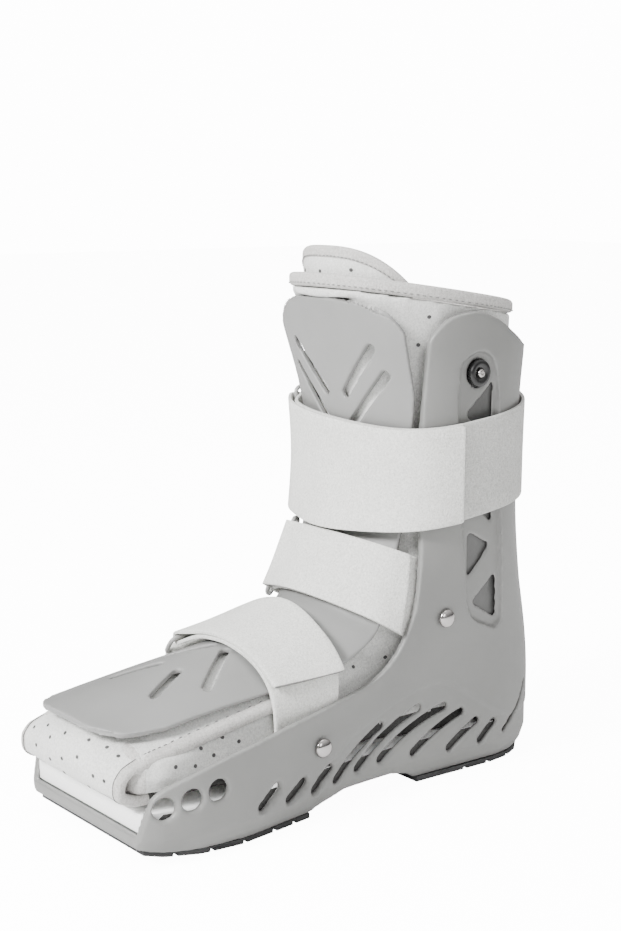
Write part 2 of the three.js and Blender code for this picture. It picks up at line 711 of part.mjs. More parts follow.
// The toe flap, on its middle line
const flapCurve = new THREE.CatmullRomCurve3(TOE_FLAP.map((row) => new THREE.Vector3(0, ...spot(row))));
function flapPoint(share, across, offset) {
  const middle = flapCurve.getPoint(share);
  const tangent = flapCurve.getTangent(share);
  const row = share * (TOE_FLAP.length - 1);
  const index = Math.min(Math.floor(row), TOE_FLAP.length - 2);
  const half = mix(TOE_FLAP[index].half, TOE_FLAP[index + 1].half, row - index) * FOOT_HALF_WIDTH;
  const drop = mix(TOE_FLAP[index].drop, TOE_FLAP[index + 1].drop, row - index);
  const fall = drop * across * across - offset;
  return [across * half, middle.y - tangent.z * fall, middle.z + tangent.y * fall];
}
function flapSheet(fromAcross, toAcross, outward, inward, rows) {
  const surface = (offset) => (u, v) => flapPoint(u, mix(fromAcross, toAcross, v), offset);
  return sheet(surface(outward), surface(-inward), 12, rows);
}
const bindingStart = 1 - FLAP_BINDING_SHARE;
const bindingGap = GAP / (FOOT_HALF_WIDTH * TOE_FLAP[0].half);
const toeFlap = flapSheet(-bindingStart + bindingGap, bindingStart - bindingGap, 0, FLAP, 4);
const toeFlapBindings = {
  near: flapSheet(bindingStart, 1, BINDING_PROUD, FLAP + BINDING_PROUD, 1),
  far: flapSheet(-1, -bindingStart, BINDING_PROUD, FLAP + BINDING_PROUD, 1),
};
const flapRoom = flapSheet(-1 - bindingGap, 1 + bindingGap, PLATE, FLAP + BINDING_PROUD + GAP, 6);

// The air cells between the shell's uprights and the liner
function airCell(side, spare) {
  const surface = (inset) => (u, v) => {
    const y = mix(AIR_CELL_AREA.fromY - spare, AIR_CELL_AREA.toY + spare, u);
    const level = mix(AIR_CELL_AREA.low, AIR_CELL_AREA.high, v);
    return [side * shellHalf(along(y), level, inset), along(y), height(level)];
  };
  return sheet(surface(WALL + GAP), surface(WALL + GAP + AIR_CELL + spare * HEEL_REACH), 3, 7);
}
const airCells = { near: airCell(1, 0), far: airCell(-1, 0) };

// The liner, hollow for the foot and the leg, pressed in where the plates, the flap and the air cells lie
let liner = linerLeg(0, -BINDING_WIDTH).add(linerFoot(0));
const linerOuter = linerLeg(0, 0).add(linerFoot(0));
const rooms = [...plateRoom, flapRoom, ...[1, -1].map((side) => airCell(side, GAP / HEEL_REACH))];
liner = liner.subtract(linerLeg(PAD, 0).add(linerFoot(PAD)));
liner = largest(liner.subtract(rooms.reduce((sum, room) => sum.add(room))));

// The collar's binding, and the tongue inside the collar with a binding of its own
const turn = (share) => share * 2 * Math.PI;
const collarSurface = (inset) => (u, v) => legPoint(COLLAR_TOP, turn(u), inset, (GAP - BINDING_WIDTH) * (1 - v));
const collarBinding = sheet(collarSurface(-BINDING_PROUD), collarSurface(PAD + BINDING_PROUD), LEG_POINTS, 1, true);

function tongueSheet(low, high, proud) {
  const surface = (inset) => (u, v) => {
    const angle = radians(mix(-TONGUE.turn, TONGUE.turn, u));
    const crest = 1 - Math.abs(2 * u - 1) ** 3;
    const rise = mix(low(crest), high(crest), v);
    return legPoint(Math.min(COLLAR_TOP, TONGUE.root + rise / LEG_HEIGHT), angle, inset, Math.max(0, rise - TONGUE_SET));
  };
  const seat = PAD + 2 * BINDING_PROUD + 2 * GAP;
  return sheet(surface(seat - proud), surface(seat + TONGUE.thick + proud), 10, 2);
}
const TONGUE_SET = (COLLAR_TOP - TONGUE.root) * LEG_HEIGHT;
const tongueTop = (crest) => TONGUE_SET - 2 + (TONGUE_RISE + 2) * crest;
const tongue = tongueSheet(() => 0, (crest) => tongueTop(crest) - BINDING_WIDTH, 0);
const tongueBinding = tongueSheet((crest) => tongueTop(crest) - BINDING_WIDTH + GAP, tongueTop, BINDING_PROUD);

// The corners of the smallest round line about some plane points
function hullOf(points) {
  const sorted = [...points].sort((a, b) => a[0] - b[0] || a[1] - b[1]);
  const cross = (o, a, b) => (a[0] - o[0]) * (b[1] - o[1]) - (a[1] - o[1]) * (b[0] - o[0]);
  const chain = (list) => {
    const kept = [];
    for (const point of list) {
      while (kept.length > 1 && cross(kept[kept.length - 2], kept[kept.length - 1], point) <= 0) {
        kept.pop();
      }
      kept.push(point);
    }
    return kept.slice(0, -1);
  };
  return [...chain(sorted), ...chain(sorted.reverse())];
}

// What a taut strap lies on: the bodies cut by planes near one place, and the round line about the cuts
function girth(bodies, origin, right, up, spread) {
  const normal = right.clone().cross(up);
  const points = [];
  const planes = [-spread, 0, spread].map((shift) => origin.clone().addScaledVector(normal, shift));
  for (const [body, plane] of bodies.flatMap((body) => planes.map((plane) => [body, plane]))) {
    const { vertProperties, triVerts } = body.getMesh();
    const corner = (i) => new THREE.Vector3().fromArray(vertProperties, 3 * i).sub(plane);
    for (let t = 0; t < triVerts.length; t += 3) {
      const corners = [0, 1, 2].map((k) => corner(triVerts[t + k]));
      const sides = corners.map((point) => point.dot(normal));
      for (let k = 0; k < 3; k += 1) {
        const next = (k + 1) % 3;
        if (sides[k] * sides[next] < 0) {
          const point = corners[k].clone().lerp(corners[next], sides[k] / (sides[k] - sides[next]));
          points.push([point.dot(right), point.dot(up)]);
        }
      }
    }
  }
  const hull = hullOf(points);
  const reach = (angle) => {
    const ray = [Math.cos(angle), Math.sin(angle)];
    for (let i = 0; i < hull.length; i += 1) {
      const a = hull[i];
      const b = hull[(i + 1) % hull.length];
      const edge = [b[0] - a[0], b[1] - a[1]];
      const det = ray[1] * edge[0] - ray[0] * edge[1];
      const distance = (a[1] * edge[0] - a[0] * edge[1]) / det;
      const share = (a[1] * ray[0] - a[0] * ray[1]) / det;
      if (share >= 0 && share <= 1 && distance > 0) {
        return distance;
      }
    }
    return 0;
  };
  const place = ([a, b]) => origin.clone().addScaledVector(right, a).addScaledVector(up, b).toArray();
  return { reach, place };
}

// Offsets of a strap's middle from what it lies on, one layer and two layers deep, and round a ring's bar
const LAYER = STRAP_CLEAR + STRAP / 2;
const SECOND_LAYER = LAYER + STRAP + GAP;
const FOLD = RING_WIRE / 2 + 2 * GAP + STRAP / 2;
const BAR = LAYER + FOLD;
const levelOf = (z) => (z <= FOOT_HEIGHT ? z / FOOT_HEIGHT : 1 + (z - FOOT_HEIGHT) / LEG_HEIGHT);
// How far out a strap may lie where it runs inside the shell
function heldReach(girthLine, angle) {
  let distance = girthLine.reach(angle);
  for (let pass = 0; pass < 3; pass += 1) {
    const [, y, z] = girthLine.place([Math.cos(angle) * distance, Math.sin(angle) * distance]);
    distance = shellHalf(y, levelOf(z), WALL + 2 * GAP + STRAP / 2) / Math.abs(Math.cos(angle));
  }
  return distance;
}
const radial = (girthLine, degrees, offset) => {
  const angle = radians(degrees);
  const spread = radians(STRAP_STEP / 2);
  const beside = Math.max(girthLine.reach(angle - spread), girthLine.reach(angle + spread)) * Math.cos(spread);
  const free = Math.max(girthLine.reach(angle), beside) + offset;
  const held = offset === LAYER && (degrees < girthLine.exit || degrees > 180 - girthLine.exit);
  const distance = held ? Math.min(free, heldReach(girthLine, angle)) : free;
  return [Math.cos(angle) * distance, Math.sin(angle) * distance];
};
function ringStep(girthLine, degrees) {
  return (RING_SPAN / girthLine.reach(radians(degrees))) * (180 / Math.PI);
}
function tailTurn(girthLine, degrees) {
  return (ANCHOR_TAIL / girthLine.reach(radians(degrees))) * (180 / Math.PI);
}

// The strap's middle line: a layer from one angle to another, or a fold round a bar
function layer(girthLine, from, to, offset, liftAtStart = 0, liftAtEnd = 0) {
  const steps = Math.max(2, Math.round(Math.abs(to - from) / STRAP_STEP / 4) * 4);
  return Array.from({ length: steps + 1 }, (_, i) => {
    const degrees = mix(from, to, i / steps);
    const fade = (distance) => Math.max(0, 1 - distance / 24) ** 2;
    const lift = liftAtStart * fade(Math.abs(degrees - from)) + liftAtEnd * fade(Math.abs(degrees - to));
    return radial(girthLine, degrees, offset + lift);
  });
}
function fold(girthLine, degrees, heading) {
  const centre = radial(girthLine, degrees, BAR);
  const out = radians(degrees);
  return [180, 140, 95, 50, 15, -12].map((turned) => {
    const angle = out + heading * radians(turned);
    return [centre[0] + Math.cos(angle) * FOLD, centre[1] + Math.sin(angle) * FOLD];
  });
}

// A strap along middle lines, one for each row of its width
function strapAlong(girths, routeOf) {
  const routes = girths.map((line) => routeOf(line));
  const count = routes[0].length;
  const surface = (offset) => (u, v) => {
    const row = Math.round(v * (girths.length - 1));
    const i = Math.round(u * (count - 1));
    const route = routes[row];
    const before = route[Math.max(0, i - 1)];
    const after = route[Math.min(count - 1, i + 1)];
    const side = new THREE.Vector2(after[1] - before[1], before[0] - after[0]).normalize();
    return girths[row].place([route[i][0] + side.x * offset, route[i][1] + side.y * offset]);
  };
  return sheet(surface(STRAP / 2), surface(-STRAP / 2), count - 1, girths.length - 1);
}

// A strap from its held end over the top to the ring, folded back over itself to its cut end
const SECOND_FOLD_LIFT = BAR + FOLD - SECOND_LAYER;
function foldedStrap(girths, band) {
  return strapAlong(girths, (line) => [
    ...layer(line, band.start, band.ring, LAYER).slice(0, -1),
    ...fold(line, band.ring, 1),
    ...layer(line, band.ring, band.cut, SECOND_LAYER, SECOND_FOLD_LIFT).slice(1),
  ]);
}

// The short strap that holds the ring from the far side
function anchorStrap(girths, band) {
  return strapAlong(girths, (line) => {
    const bar = band.ring + ringStep(line, band.ring);
    return [
      ...layer(line, 180 - band.start, bar, LAYER).slice(0, -1),
      ...fold(line, bar, -1),
      ...layer(line, bar, bar + tailTurn(line, bar), SECOND_LAYER, SECOND_FOLD_LIFT).slice(1),
    ];
  });
}

// A ring: a round-cornered loop of wire about the two bars
function ringAt(girths, degrees) {
  const bar = (angleOf) => {
    const line = girths.map((row) => new THREE.Vector3(...row.place(radial(row, angleOf(row), BAR))));
    const out = (end, inner) => end.clone().add(end.clone().sub(inner).setLength(RING_WIRE));
    return [out(line[0], line[1]), ...line.slice(1, -1), out(line[line.length - 1], line[line.length - 2])];
  };
  const first = bar(() => degrees);
  const second = bar((row) => degrees + ringStep(row, degrees));
  const corners = [first[0], first[first.length - 1], second[second.length - 1], second[0]];
  const centre = corners.reduce((sum, corner) => sum.add(corner), new THREE.Vector3()).divideScalar(4);
  const flat = corners[1].clone().sub(corners[0]).cross(corners[3].clone().sub(corners[0])).normalize();
  const path = [];
  corners.forEach((corner, i) => {
    const before = corners[(i + 3) % 4].clone().sub(corner).setLength(RING_WIRE);
    const after = corners[(i + 1) % 4].clone().sub(corner).setLength(RING_WIRE);
    path.push(corner.clone().add(before), corner.clone().addScaledVector(before, 0.3).addScaledVector(after, 0.3));
    path.push(corner.clone().add(after));
    const between = { 0: first.slice(1, -1), 2: second.slice(1, -1).reverse() }[i] ?? [];
    path.push(...between);
  });
  const sides = 6;
  const surface = (radius) => (u, v) => {
    const i = Math.round(u * path.length) % path.length;
    const ahead = path[(i + 1) % path.length].clone().sub(path[(i + path.length - 1) % path.length]).normalize();
    const outward = ahead.clone().cross(flat).normalize();
    if (outward.dot(path[i].clone().sub(centre)) < 0) {
      outward.negate();
    }
    const angle = v * Math.PI * (radius > 0 ? 1 : -1);
    return path[i].clone()
      .addScaledVector(outward, Math.cos(angle) * RING_WIRE / 2)
      .addScaledVector(flat, Math.sin(angle) * RING_WIRE / 2)
      .toArray();
  };
  return wireLoop(path, surface, sides);
}

// A closed loop of wire with a round section
function wireLoop(path, surface, sides) {
  const upper = surface(1);
  const lower = surface(-1);
  const points = [];
  for (let i = 0; i < path.length; i += 1) {
    for (let k = 0; k < sides; k += 1) {
      const share = (2 * k) / sides;
      points.push(share <= 1 ? upper(i / path.length, share) : lower(i / path.length, 2 - share));
    }
  }
  const triangles = [];
  for (let i = 0; i < path.length; i += 1) {
    for (let k = 0; k < sides; k += 1) {
      const a = i * sides + k;
      const b = i * sides + ((k + 1) % sides);
      const c = ((i + 1) % path.length) * sides;
      triangles.push([a, b, c + ((k + 1) % sides)], [a, c + ((k + 1) % sides), c + k]);
    }
  }
  return solid(points, triangles);
}

const rows = (count, make) => Array.from({ length: count + 1 }, (_, i) => make(i / count));
const RIGHT = new THREE.Vector3(1, 0, 0);
const UP = new THREE.Vector3(0, 0, 1);
const footBodies = [linerOuter, footPlate, toeFlap, ...Object.values(toeFlapBindings)];
const legBodies = [linerOuter, footPlate, shinPlate, shell];

const calfGirths = rows(2, (share) => {
  const value = (key) => mix(CALF_BAND.low[key], CALF_BAND.high[key], share);
  const right = new THREE.Vector3(1, 0, value('across')).normalize();
  const forward = right.clone().cross(new THREE.Vector3(-value('across'), -value('back'), 1).normalize());
  return girth(legBodies, new THREE.Vector3(0, LEG_CENTRE, height(value('z'))), right, forward, 1.5 * STRAP_SPREAD);
});
const forefootGirths = rows(2, (share) => {
  const y = along(mix(FOREFOOT_BAND.front, FOREFOOT_BAND.back, share));
  const origin = new THREE.Vector3(0, y, height(FOREFOOT_BAND.middle));
  const line = girth(footBodies, origin, RIGHT, UP, 1.5 * STRAP_SPREAD);
  return { ...line, exit: FOREFOOT_BAND.exit };
});
const ankleGirths = rows(3, (share) => {
  const { low, high } = ANKLE_BAND;
  const at = (key, way) => way(mix(low[key], high[key], share));
  const origin = new THREE.Vector3(0, at('y', along), at('z', height));
  const toward = new THREE.Vector3(0, at('towardY', along), at('towardZ', height));
  const up = toward.sub(origin).normalize();
  const line = girth([linerOuter, footPlate], origin, RIGHT, up, STRAP_SPREAD);
  return { ...line, exit: ANKLE_BAND.exit };
});

// The calf strap runs from its sewn end on the ring round the back to the ring again and folds over itself
const calfStrap = strapAlong(calfGirths, (line) => {
  const bar = CALF_BAND.ring + ringStep(line, CALF_BAND.ring);
  return [
    ...layer(line, bar + tailTurn(line, bar), bar, SECOND_LAYER, 0, SECOND_FOLD_LIFT).slice(0, -1),
    ...fold(line, bar, -1).reverse(),
    ...layer(line, bar, CALF_BAND.ring + 360, LAYER).slice(1, -1),
    ...fold(line, CALF_BAND.ring, 1),
    ...layer(line, CALF_BAND.ring, CALF_BAND.cut, SECOND_LAYER, SECOND_FOLD_LIFT).slice(1),
  ];
});
const rivetHoles = (name) => eachSide(circleOutline(spot(RIVETS[name]), RIVET_SHANK + 2 * GAP, 8));
const holed = (strap, name) => rivetHoles(name).reduce((body, hole) => body.subtract(hole), strap);

// Rivets: a low dome on the shell and a shank through the wall and the strap behind it
function onSide(profile, side, { y, z }, inset, segments) {
  const reach = VALVE_DIAMETER / 3;
  const under = [[0, 0], [reach, 0], [-reach, 0], [0, reach], [0, -reach]];
  const seat = Math.max(...under.map(([across, up]) => (
    shellHalf(along(y) + across, z + up / (z > 1 ? LEG_HEIGHT : FOOT_HEIGHT), inset)
  )));
  const geometry = new THREE.LatheGeometry(profile.map(([r, x]) => new THREE.Vector2(r, x)), segments);
  geometry.rotateZ(-Math.PI / 2 * side);
  geometry.translate(side * seat, along(y), height(z));
  return solidOf(geometry);
}
const shankEnd = -(WALL + STRAP + GAP);
const rivetProfile = [
  [0, shankEnd],
  [RIVET_SHANK / 2, shankEnd],
  [RIVET_SHANK / 2, GAP],
  [RIVET_HEAD / 2, GAP],
  [RIVET_HEAD / 2, GAP + 0.5],
  [RIVET_HEAD * 0.38, GAP + 0.5 + RIVET_DOME * 0.6],
  [RIVET_HEAD * 0.2, GAP + 0.5 + RIVET_DOME * 0.93],
  [0, GAP + 0.5 + RIVET_DOME],
];

// The valve: a body through the wall and a pin in its middle
const pinHalf = VALVE_PIN_DIAMETER / 2;
const valveBack = CHANNEL_DEPTH - WALL + GAP;
const valveProfile = [
  [pinHalf + GAP, valveBack],
  [VALVE_DIAMETER / 2, valveBack],
  [VALVE_DIAMETER / 2, VALVE_PROUD * 0.7],
  [VALVE_DIAMETER / 2 - 1, VALVE_PROUD],
  [pinHalf + 2, VALVE_PROUD],
  [pinHalf + GAP, VALVE_PROUD - 1],
  [pinHalf + GAP, valveBack],
];
const pinProfile = [
  [0, valveBack],
  [pinHalf, valveBack],
  [pinHalf, VALVE_PROUD + 0.2],
  [pinHalf * 0.6, VALVE_PROUD + 0.9],
  [0, VALVE_PROUD + 1],
];

const group = new THREE.Group();
function piece(name, body, colour, roughness, metalness = 0) {
  const material = new THREE.MeshStandardMaterial({ color: colour, roughness, metalness });
  const mesh = new THREE.Mesh(geometryOf(body), material);
  mesh.name = name;
  group.add(mesh);
}
const PLASTIC = 0xb4b4b2;
const PADDING = 0xe0dfdc;
const WEBBING = 0xd6d6d3;
const RUBBER = 0x3a3a3a;
const STEEL = 0xd0d0d0;
piece('shell', shell, PLASTIC, 0.45);
piece('forefoot_tread', forefootTread, RUBBER, 0.85);
piece('heel_tread', heelTread, RUBBER, 0.85);
piece('insole_pad', insole, 0xf2f2f0, 0.8);
piece('foot_plate', footPlate, PLASTIC, 0.45);
piece('shin_plate', shinPlate, PLASTIC, 0.45);
piece('liner', liner, PADDING, 0.9);
piece('collar_binding', collarBinding, PADDING, 0.9);
piece('tongue', tongue, PADDING, 0.9);
piece('tongue_binding', tongueBinding, PADDING, 0.9);
piece('toe_flap', toeFlap, PADDING, 0.9);
for (const [side, body] of Object.entries(toeFlapBindings)) {
  piece(`toe_flap_binding_${side}`, body, PADDING, 0.9);
}
for (const [side, body] of Object.entries(airCells)) {
  piece(`air_cell_${side}`, body, 0x8a8a8a, 0.6);
}
piece('calf_strap', calfStrap, WEBBING, 0.9);
piece('forefoot_strap', holed(foldedStrap(forefootGirths, FOREFOOT_BAND), 'forefoot'), WEBBING, 0.9);
piece('forefoot_anchor', holed(anchorStrap(forefootGirths, FOREFOOT_BAND), 'forefoot'), WEBBING, 0.9);
piece('ankle_strap', holed(foldedStrap(ankleGirths, ANKLE_BAND), 'ankle'), WEBBING, 0.9);
piece('ankle_anchor', holed(anchorStrap(ankleGirths, ANKLE_BAND), 'ankle'), WEBBING, 0.9);
piece('calf_ring', ringAt(calfGirths, CALF_BAND.ring), PLASTIC, 0.4);
piece('forefoot_ring', ringAt(forefootGirths, FOREFOOT_BAND.ring), PLASTIC, 0.4);
piece('ankle_ring', ringAt(ankleGirths, ANKLE_BAND.ring), PLASTIC, 0.4);
for (const [name, place] of Object.entries(RIVETS)) {
  piece(`${name}_rivet_near`, onSide(rivetProfile, 1, place, 0, 10), STEEL, 0.2, 1);
  piece(`${name}_rivet_far`, onSide(rivetProfile, -1, place, 0, 10), STEEL, 0.2, 1);
}
piece('valve_body', onSide(valveProfile, 1, VALVE, CHANNEL_DEPTH, 16), 0x1c1c1c, 0.35);
piece('valve_pin', onSide(pinProfile, 1, VALVE, CHANNEL_DEPTH, 12), STEEL, 0.2, 1);

export default group;
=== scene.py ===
import math

import bmesh
import bpy
import numpy as np
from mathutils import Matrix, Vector
from mathutils.bvhtree import BVHTree


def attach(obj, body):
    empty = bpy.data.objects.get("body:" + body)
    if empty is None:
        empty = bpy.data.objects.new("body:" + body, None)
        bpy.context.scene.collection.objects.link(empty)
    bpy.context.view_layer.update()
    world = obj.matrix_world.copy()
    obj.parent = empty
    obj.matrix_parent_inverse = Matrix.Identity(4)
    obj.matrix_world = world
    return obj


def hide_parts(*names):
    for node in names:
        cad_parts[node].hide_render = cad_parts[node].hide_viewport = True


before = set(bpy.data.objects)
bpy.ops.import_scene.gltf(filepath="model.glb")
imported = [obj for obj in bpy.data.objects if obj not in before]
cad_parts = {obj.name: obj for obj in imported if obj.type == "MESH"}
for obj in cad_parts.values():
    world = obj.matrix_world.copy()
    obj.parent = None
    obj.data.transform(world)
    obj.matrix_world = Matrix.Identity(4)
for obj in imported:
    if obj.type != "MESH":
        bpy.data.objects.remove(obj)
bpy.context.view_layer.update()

MM = 0.001

# Driving sizes in millimetres. They are the solids' own, apart from the rivets' heads, 1.5 smaller here, and
# the valve, 2 smaller, as they look in the photo.
TOE_REACH = 200
HEEL_REACH = 84
FOOT_HEIGHT = 100
FOOT_HALF_WIDTH = 60
HEEL_HALF_WIDTH = 45
HEEL_HALF_DEPTH = 48
LEG_HEIGHT = 152
LEG_HALF_WIDTH = 57
LEG_HALF_DEPTH = 60.5
LEG_CENTRE = 7
LEG_SQUARENESS = 2.3
WALL = 3.5
FLOOR_TOP = 13.5
TOE_LIP_TOP = 16
SLOT_WIDTH = 4.2
HEEL_SLIT_WIDTH = 2.4
TOE_HOLE_DIAMETER = 11
CHANNEL_DEPTH = 1.9
GAP = 0.35
SIDE_ROOM = 4.6
PAD = 5
BINDING_WIDTH = 7.5
BINDING_PROUD = 0.6
COLLAR_TILT = 9
COLLAR_FLARE = 4.5
COLLAR_TOP = 2.06
TONGUE_RISE = 15
TONGUE_TURN = 60
TONGUE_ROOT = 1.72
TONGUE_THICK = 4
FLAP = 4
PLATE = 3
PLATE_SLOT_WIDTH = 5
RIVET_HEAD = 10
RIVET_DOME = 2.6
RIVET_SHANK = 5
VALVE_DIAMETER = 14
VALVE_PROUD = 2.2
VALVE_PIN_DIAMETER = 4.5

# Tables of shares, with their columns named in the line above each. The rolled flap, the front line's toe
# end and the foot plate's rounding follow the photo more closely than the solids do.
# y, half width, turn round the leg
FOOT_PLAN = [
    (-1.0, 0.0, 0), (-1.0, 0.82, 22), (-0.985, 0.885, 30), (-0.94, 0.955, 36), (-0.84, 1.0, 44),
    (-0.71, 0.985, 52), (-0.565, 0.91, 60), (-0.45, 0.84, 66), (-0.31, 0.775, 73), (-0.15, 0.745, 82),
    (0.0, 0.745, 91), (0.2, 0.75, 99),
]
# sweep round the heel, turn round the leg
HEEL_PLAN = [(0, 108), (18, 120), (36, 132), (54, 147), (72, 163), (90, 180)]
# z, inset, grow
SHELL_LEVELS = [
    (0.0, 7.0, 1.0), (0.07, 2.2, 1.0), (0.14, 0.0, 1.0), (0.42, 0.0, 1.0), (0.88, 0.0, 0.98),
    (1.1, 0.0, 0.965), (1.33, 0.0, 0.955), (1.66, 0.0, 0.975), (1.86, 0.0, 1.02), (2.06, 0.0, 1.05),
]
# y, z
SOLE_LINE = [
    (-1.0, 0.095), (-0.92, 0.068), (-0.82, 0.045), (-0.7, 0.032), (-0.47, 0.032), (-0.435, 0.06),
    (-0.36, 0.096), (-0.19, 0.096), (-0.13, 0.07), (-0.1, 0.032), (0.9, 0.032), (1.06, 0.06),
]
RIM_LINE = [
    (1.06, 1.84), (0.62, 1.865), (0.45, 1.905), (0.2, 1.975), (0.04, 1.998), (-0.05, 1.985),
    (-0.095, 1.945), (-0.118, 1.89), (-0.124, 1.64), (-0.126, 1.28), (-0.137, 1.12), (-0.15, 1.0),
    (-0.168, 0.885), (-0.195, 0.77), (-0.24, 0.68), (-0.29, 0.63), (-0.36, 0.6), (-0.45, 0.568),
    (-0.6, 0.53), (-0.76, 0.48), (-0.85, 0.441), (-0.93, 0.392), (-0.962, 0.355), (-0.975, 0.29),
    (-0.99, 0.18), (-0.998, 0.115),
]
# y, z of the lower end, y, z of the upper end, bow
SIDE_SLOTS = [
    (-0.661, 0.174, -0.61, 0.248, 0), (-0.566, 0.161, -0.515, 0.222, 0),
    (-0.475, 0.158, -0.417, 0.243, 0.5), (-0.395, 0.167, -0.234, 0.38, 1.5),
    (-0.318, 0.191, -0.103, 0.424, 2.5), (-0.237, 0.202, -0.011, 0.399, 2.5),
    (-0.119, 0.188, 0.119, 0.347, 1.5), (0.021, 0.162, 0.25, 0.276, 0.5), (0.288, 0.161, 0.402, 0.244, 0),
]
HEEL_SLIT = (0.495, 0.182, 0.751, 0.417, -1.5)
TOE_HOLES = [(-0.938, 0.29), (-0.868, 0.311), (-0.795, 0.328)]
CHANNEL = [
    (-0.028, 1.831), (-0.03, 1.7), (-0.027, 1.63), (-0.008, 1.25), (0.065, 0.96), (0.135, 0.868),
    (0.35, 0.79), (0.4, 0.83), (0.365, 1.06), (0.27, 1.72), (0.21, 1.835), (0.09, 1.868),
]
WINDOWS = [
    [(0.235, 1.757), (0.222, 1.56), (0.008, 1.645)],
    [(0.005, 1.575), (0.19, 1.5), (0.012, 1.415)],
    [(0.235, 1.455), (0.255, 1.257), (0.045, 1.36)],
    [(0.045, 1.236), (0.245, 1.18), (0.065, 1.07)],
    [(0.318, 1.072), (0.36, 0.852), (0.122, 0.966)],
]
VALVE = (0.09, 1.787)
RIVETS = {"ankle": (-0.0485, 0.916), "forefoot": (-0.454, 0.375)}
# y, z, half width, drop
FRONT_LINE = [
    (-1.045, 0.652, 42, 4), (-0.98, 0.672, 42, 6), (-0.79, 0.765, 42, 11), (-0.585, 0.832, 42, 14),
    (-0.45, 0.885, 43, 16), (-0.375, 0.935, 44, 17), (-0.322, 1.01, 44, 19), (-0.27, 1.12, 42, 16),
    (-0.208, 1.25, 39.5, 10), (-0.193, 1.38, 41, 11), (-0.191, 1.52, 43, 9.5), (-0.213, 1.7, 48.5, 12.2),
    (-0.254, 1.9, 51, 12), (-0.277, 2.04, 50, 11.5),
]
# from, to, roundFrom, roundTo
PLATE_SPANS = {"foot": (0, 0.66, 0.115, 0.02), "shin": (0.69, 1, 0.02, 0.05)}
FOOT_PLATE_SLOTS = [(19, -0.846, 8.2, -0.744), (28, -0.722, 6, -0.593)]
SHIN_PLATE_SLOTS = [(8, 1.714, 31, 1.876), (10.5, 1.612, 36, 1.787)]
# z, front
LINER_LEG = [
    (0.245, -0.3), (0.5, -0.37), (0.8, -0.37), (0.93, -0.335), (1.05, -0.275), (1.22, -0.205),
    (1.45, -0.183), (1.7, -0.203), (1.88, -0.243), (2.0, -0.285),
]
# y, z, half width, drop
TOE_FLAP = [
    (-0.46, 0.806, 0.73, 12), (-0.56, 0.765, 0.74, 13), (-0.75, 0.7, 0.76, 13), (-0.9, 0.65, 0.79, 13),
    (-0.985, 0.605, 0.8, 12), (-1.035, 0.53, 0.8, 9), (-1.05, 0.43, 0.8, 4), (-1.035, 0.34, 0.79, 1),
    (-0.99, 0.3, 0.78, 0), (-0.93, 0.29, 0.76, 0),
]
FLAP_BINDING_SHARE = 0.11


def along(share):
    return share * (TOE_REACH if share < 0 else HEEL_REACH)


def height(share):
    return share * FOOT_HEIGHT if share <= 1 else FOOT_HEIGHT + (share - 1) * LEG_HEIGHT


def mix(a, b, t):
    return a + (b - a) * t


def smoothstep(x, low, high):
    t = min(1.0, max(0.0, (x - low) / (high - low)))
    return t * t * (3 - 2 * t)


def power(value, exponent):
    return math.copysign(abs(value) ** exponent, value)


# A smooth line through table values that never passes beyond them
def monotone(xs, ys, at):
    xs, ys = np.asarray(xs, float), np.asarray(ys, float)
    step = np.diff(xs)
    slope = np.diff(ys) / step
    tangent = np.zeros_like(ys)
    same = slope[1:] * slope[:-1] > 0
    with np.errstate(divide="ignore", invalid="ignore"):
        tangent[1:-1] = np.where(same, 2 / (1 / slope[1:] + 1 / slope[:-1]), 0)
    tangent[0], tangent[-1] = slope[0], slope[-1]
    at = np.clip(np.atleast_1d(np.asarray(at, float)), xs[0], xs[-1])
    i = np.clip(np.searchsorted(xs, at) - 1, 0, len(xs) - 2)
    t = (at - xs[i]) / step[i]
    return (
        (2 * t**3 - 3 * t**2 + 1) * ys[i] + (t**3 - 2 * t**2 + t) * step[i] * tangent[i]
        + (-2 * t**3 + 3 * t**2) * ys[i + 1] + (t**3 - t**2) * step[i] * tangent[i + 1]
    )


def smooth_line(points, count):
    points = np.asarray(points, float)
    run = np.concatenate([[0], np.cumsum(np.linalg.norm(np.diff(points, axis=0), axis=1))])
    at = np.linspace(0, run[-1], count)
    return np.stack([monotone(run, points[:, k], at) for k in range(points.shape[1])], axis=1)


# The shell's half plan, sampled finely: x, y and the turn round the leg
def fine_plan(count):
    heel_centre = HEEL_REACH - HEEL_HALF_DEPTH
    rows = [(half * FOOT_HALF_WIDTH, along(y), turn) for y, half, turn in FOOT_PLAN]
    for degrees, turn in HEEL_PLAN:
        sweep = math.radians(degrees)
        x, y = math.cos(sweep) * HEEL_HALF_WIDTH, heel_centre + math.sin(sweep) * HEEL_HALF_DEPTH
        rows.append((x, y, turn))
    rows = np.asarray(rows)
    run = np.concatenate([[0], np.cumsum(np.linalg.norm(np.diff(rows[:, :2], axis=0), axis=1))])
    at = np.unique(np.concatenate([np.linspace(0, run[-1], count), run]))
    return np.stack([monotone(run, rows[:, k], at) for k in range(3)], axis=1)


PLAN = fine_plan(110)
# Between which levels the plan turns from the foot's into the leg's
LEG_BLEND = (0.42, 1.33)


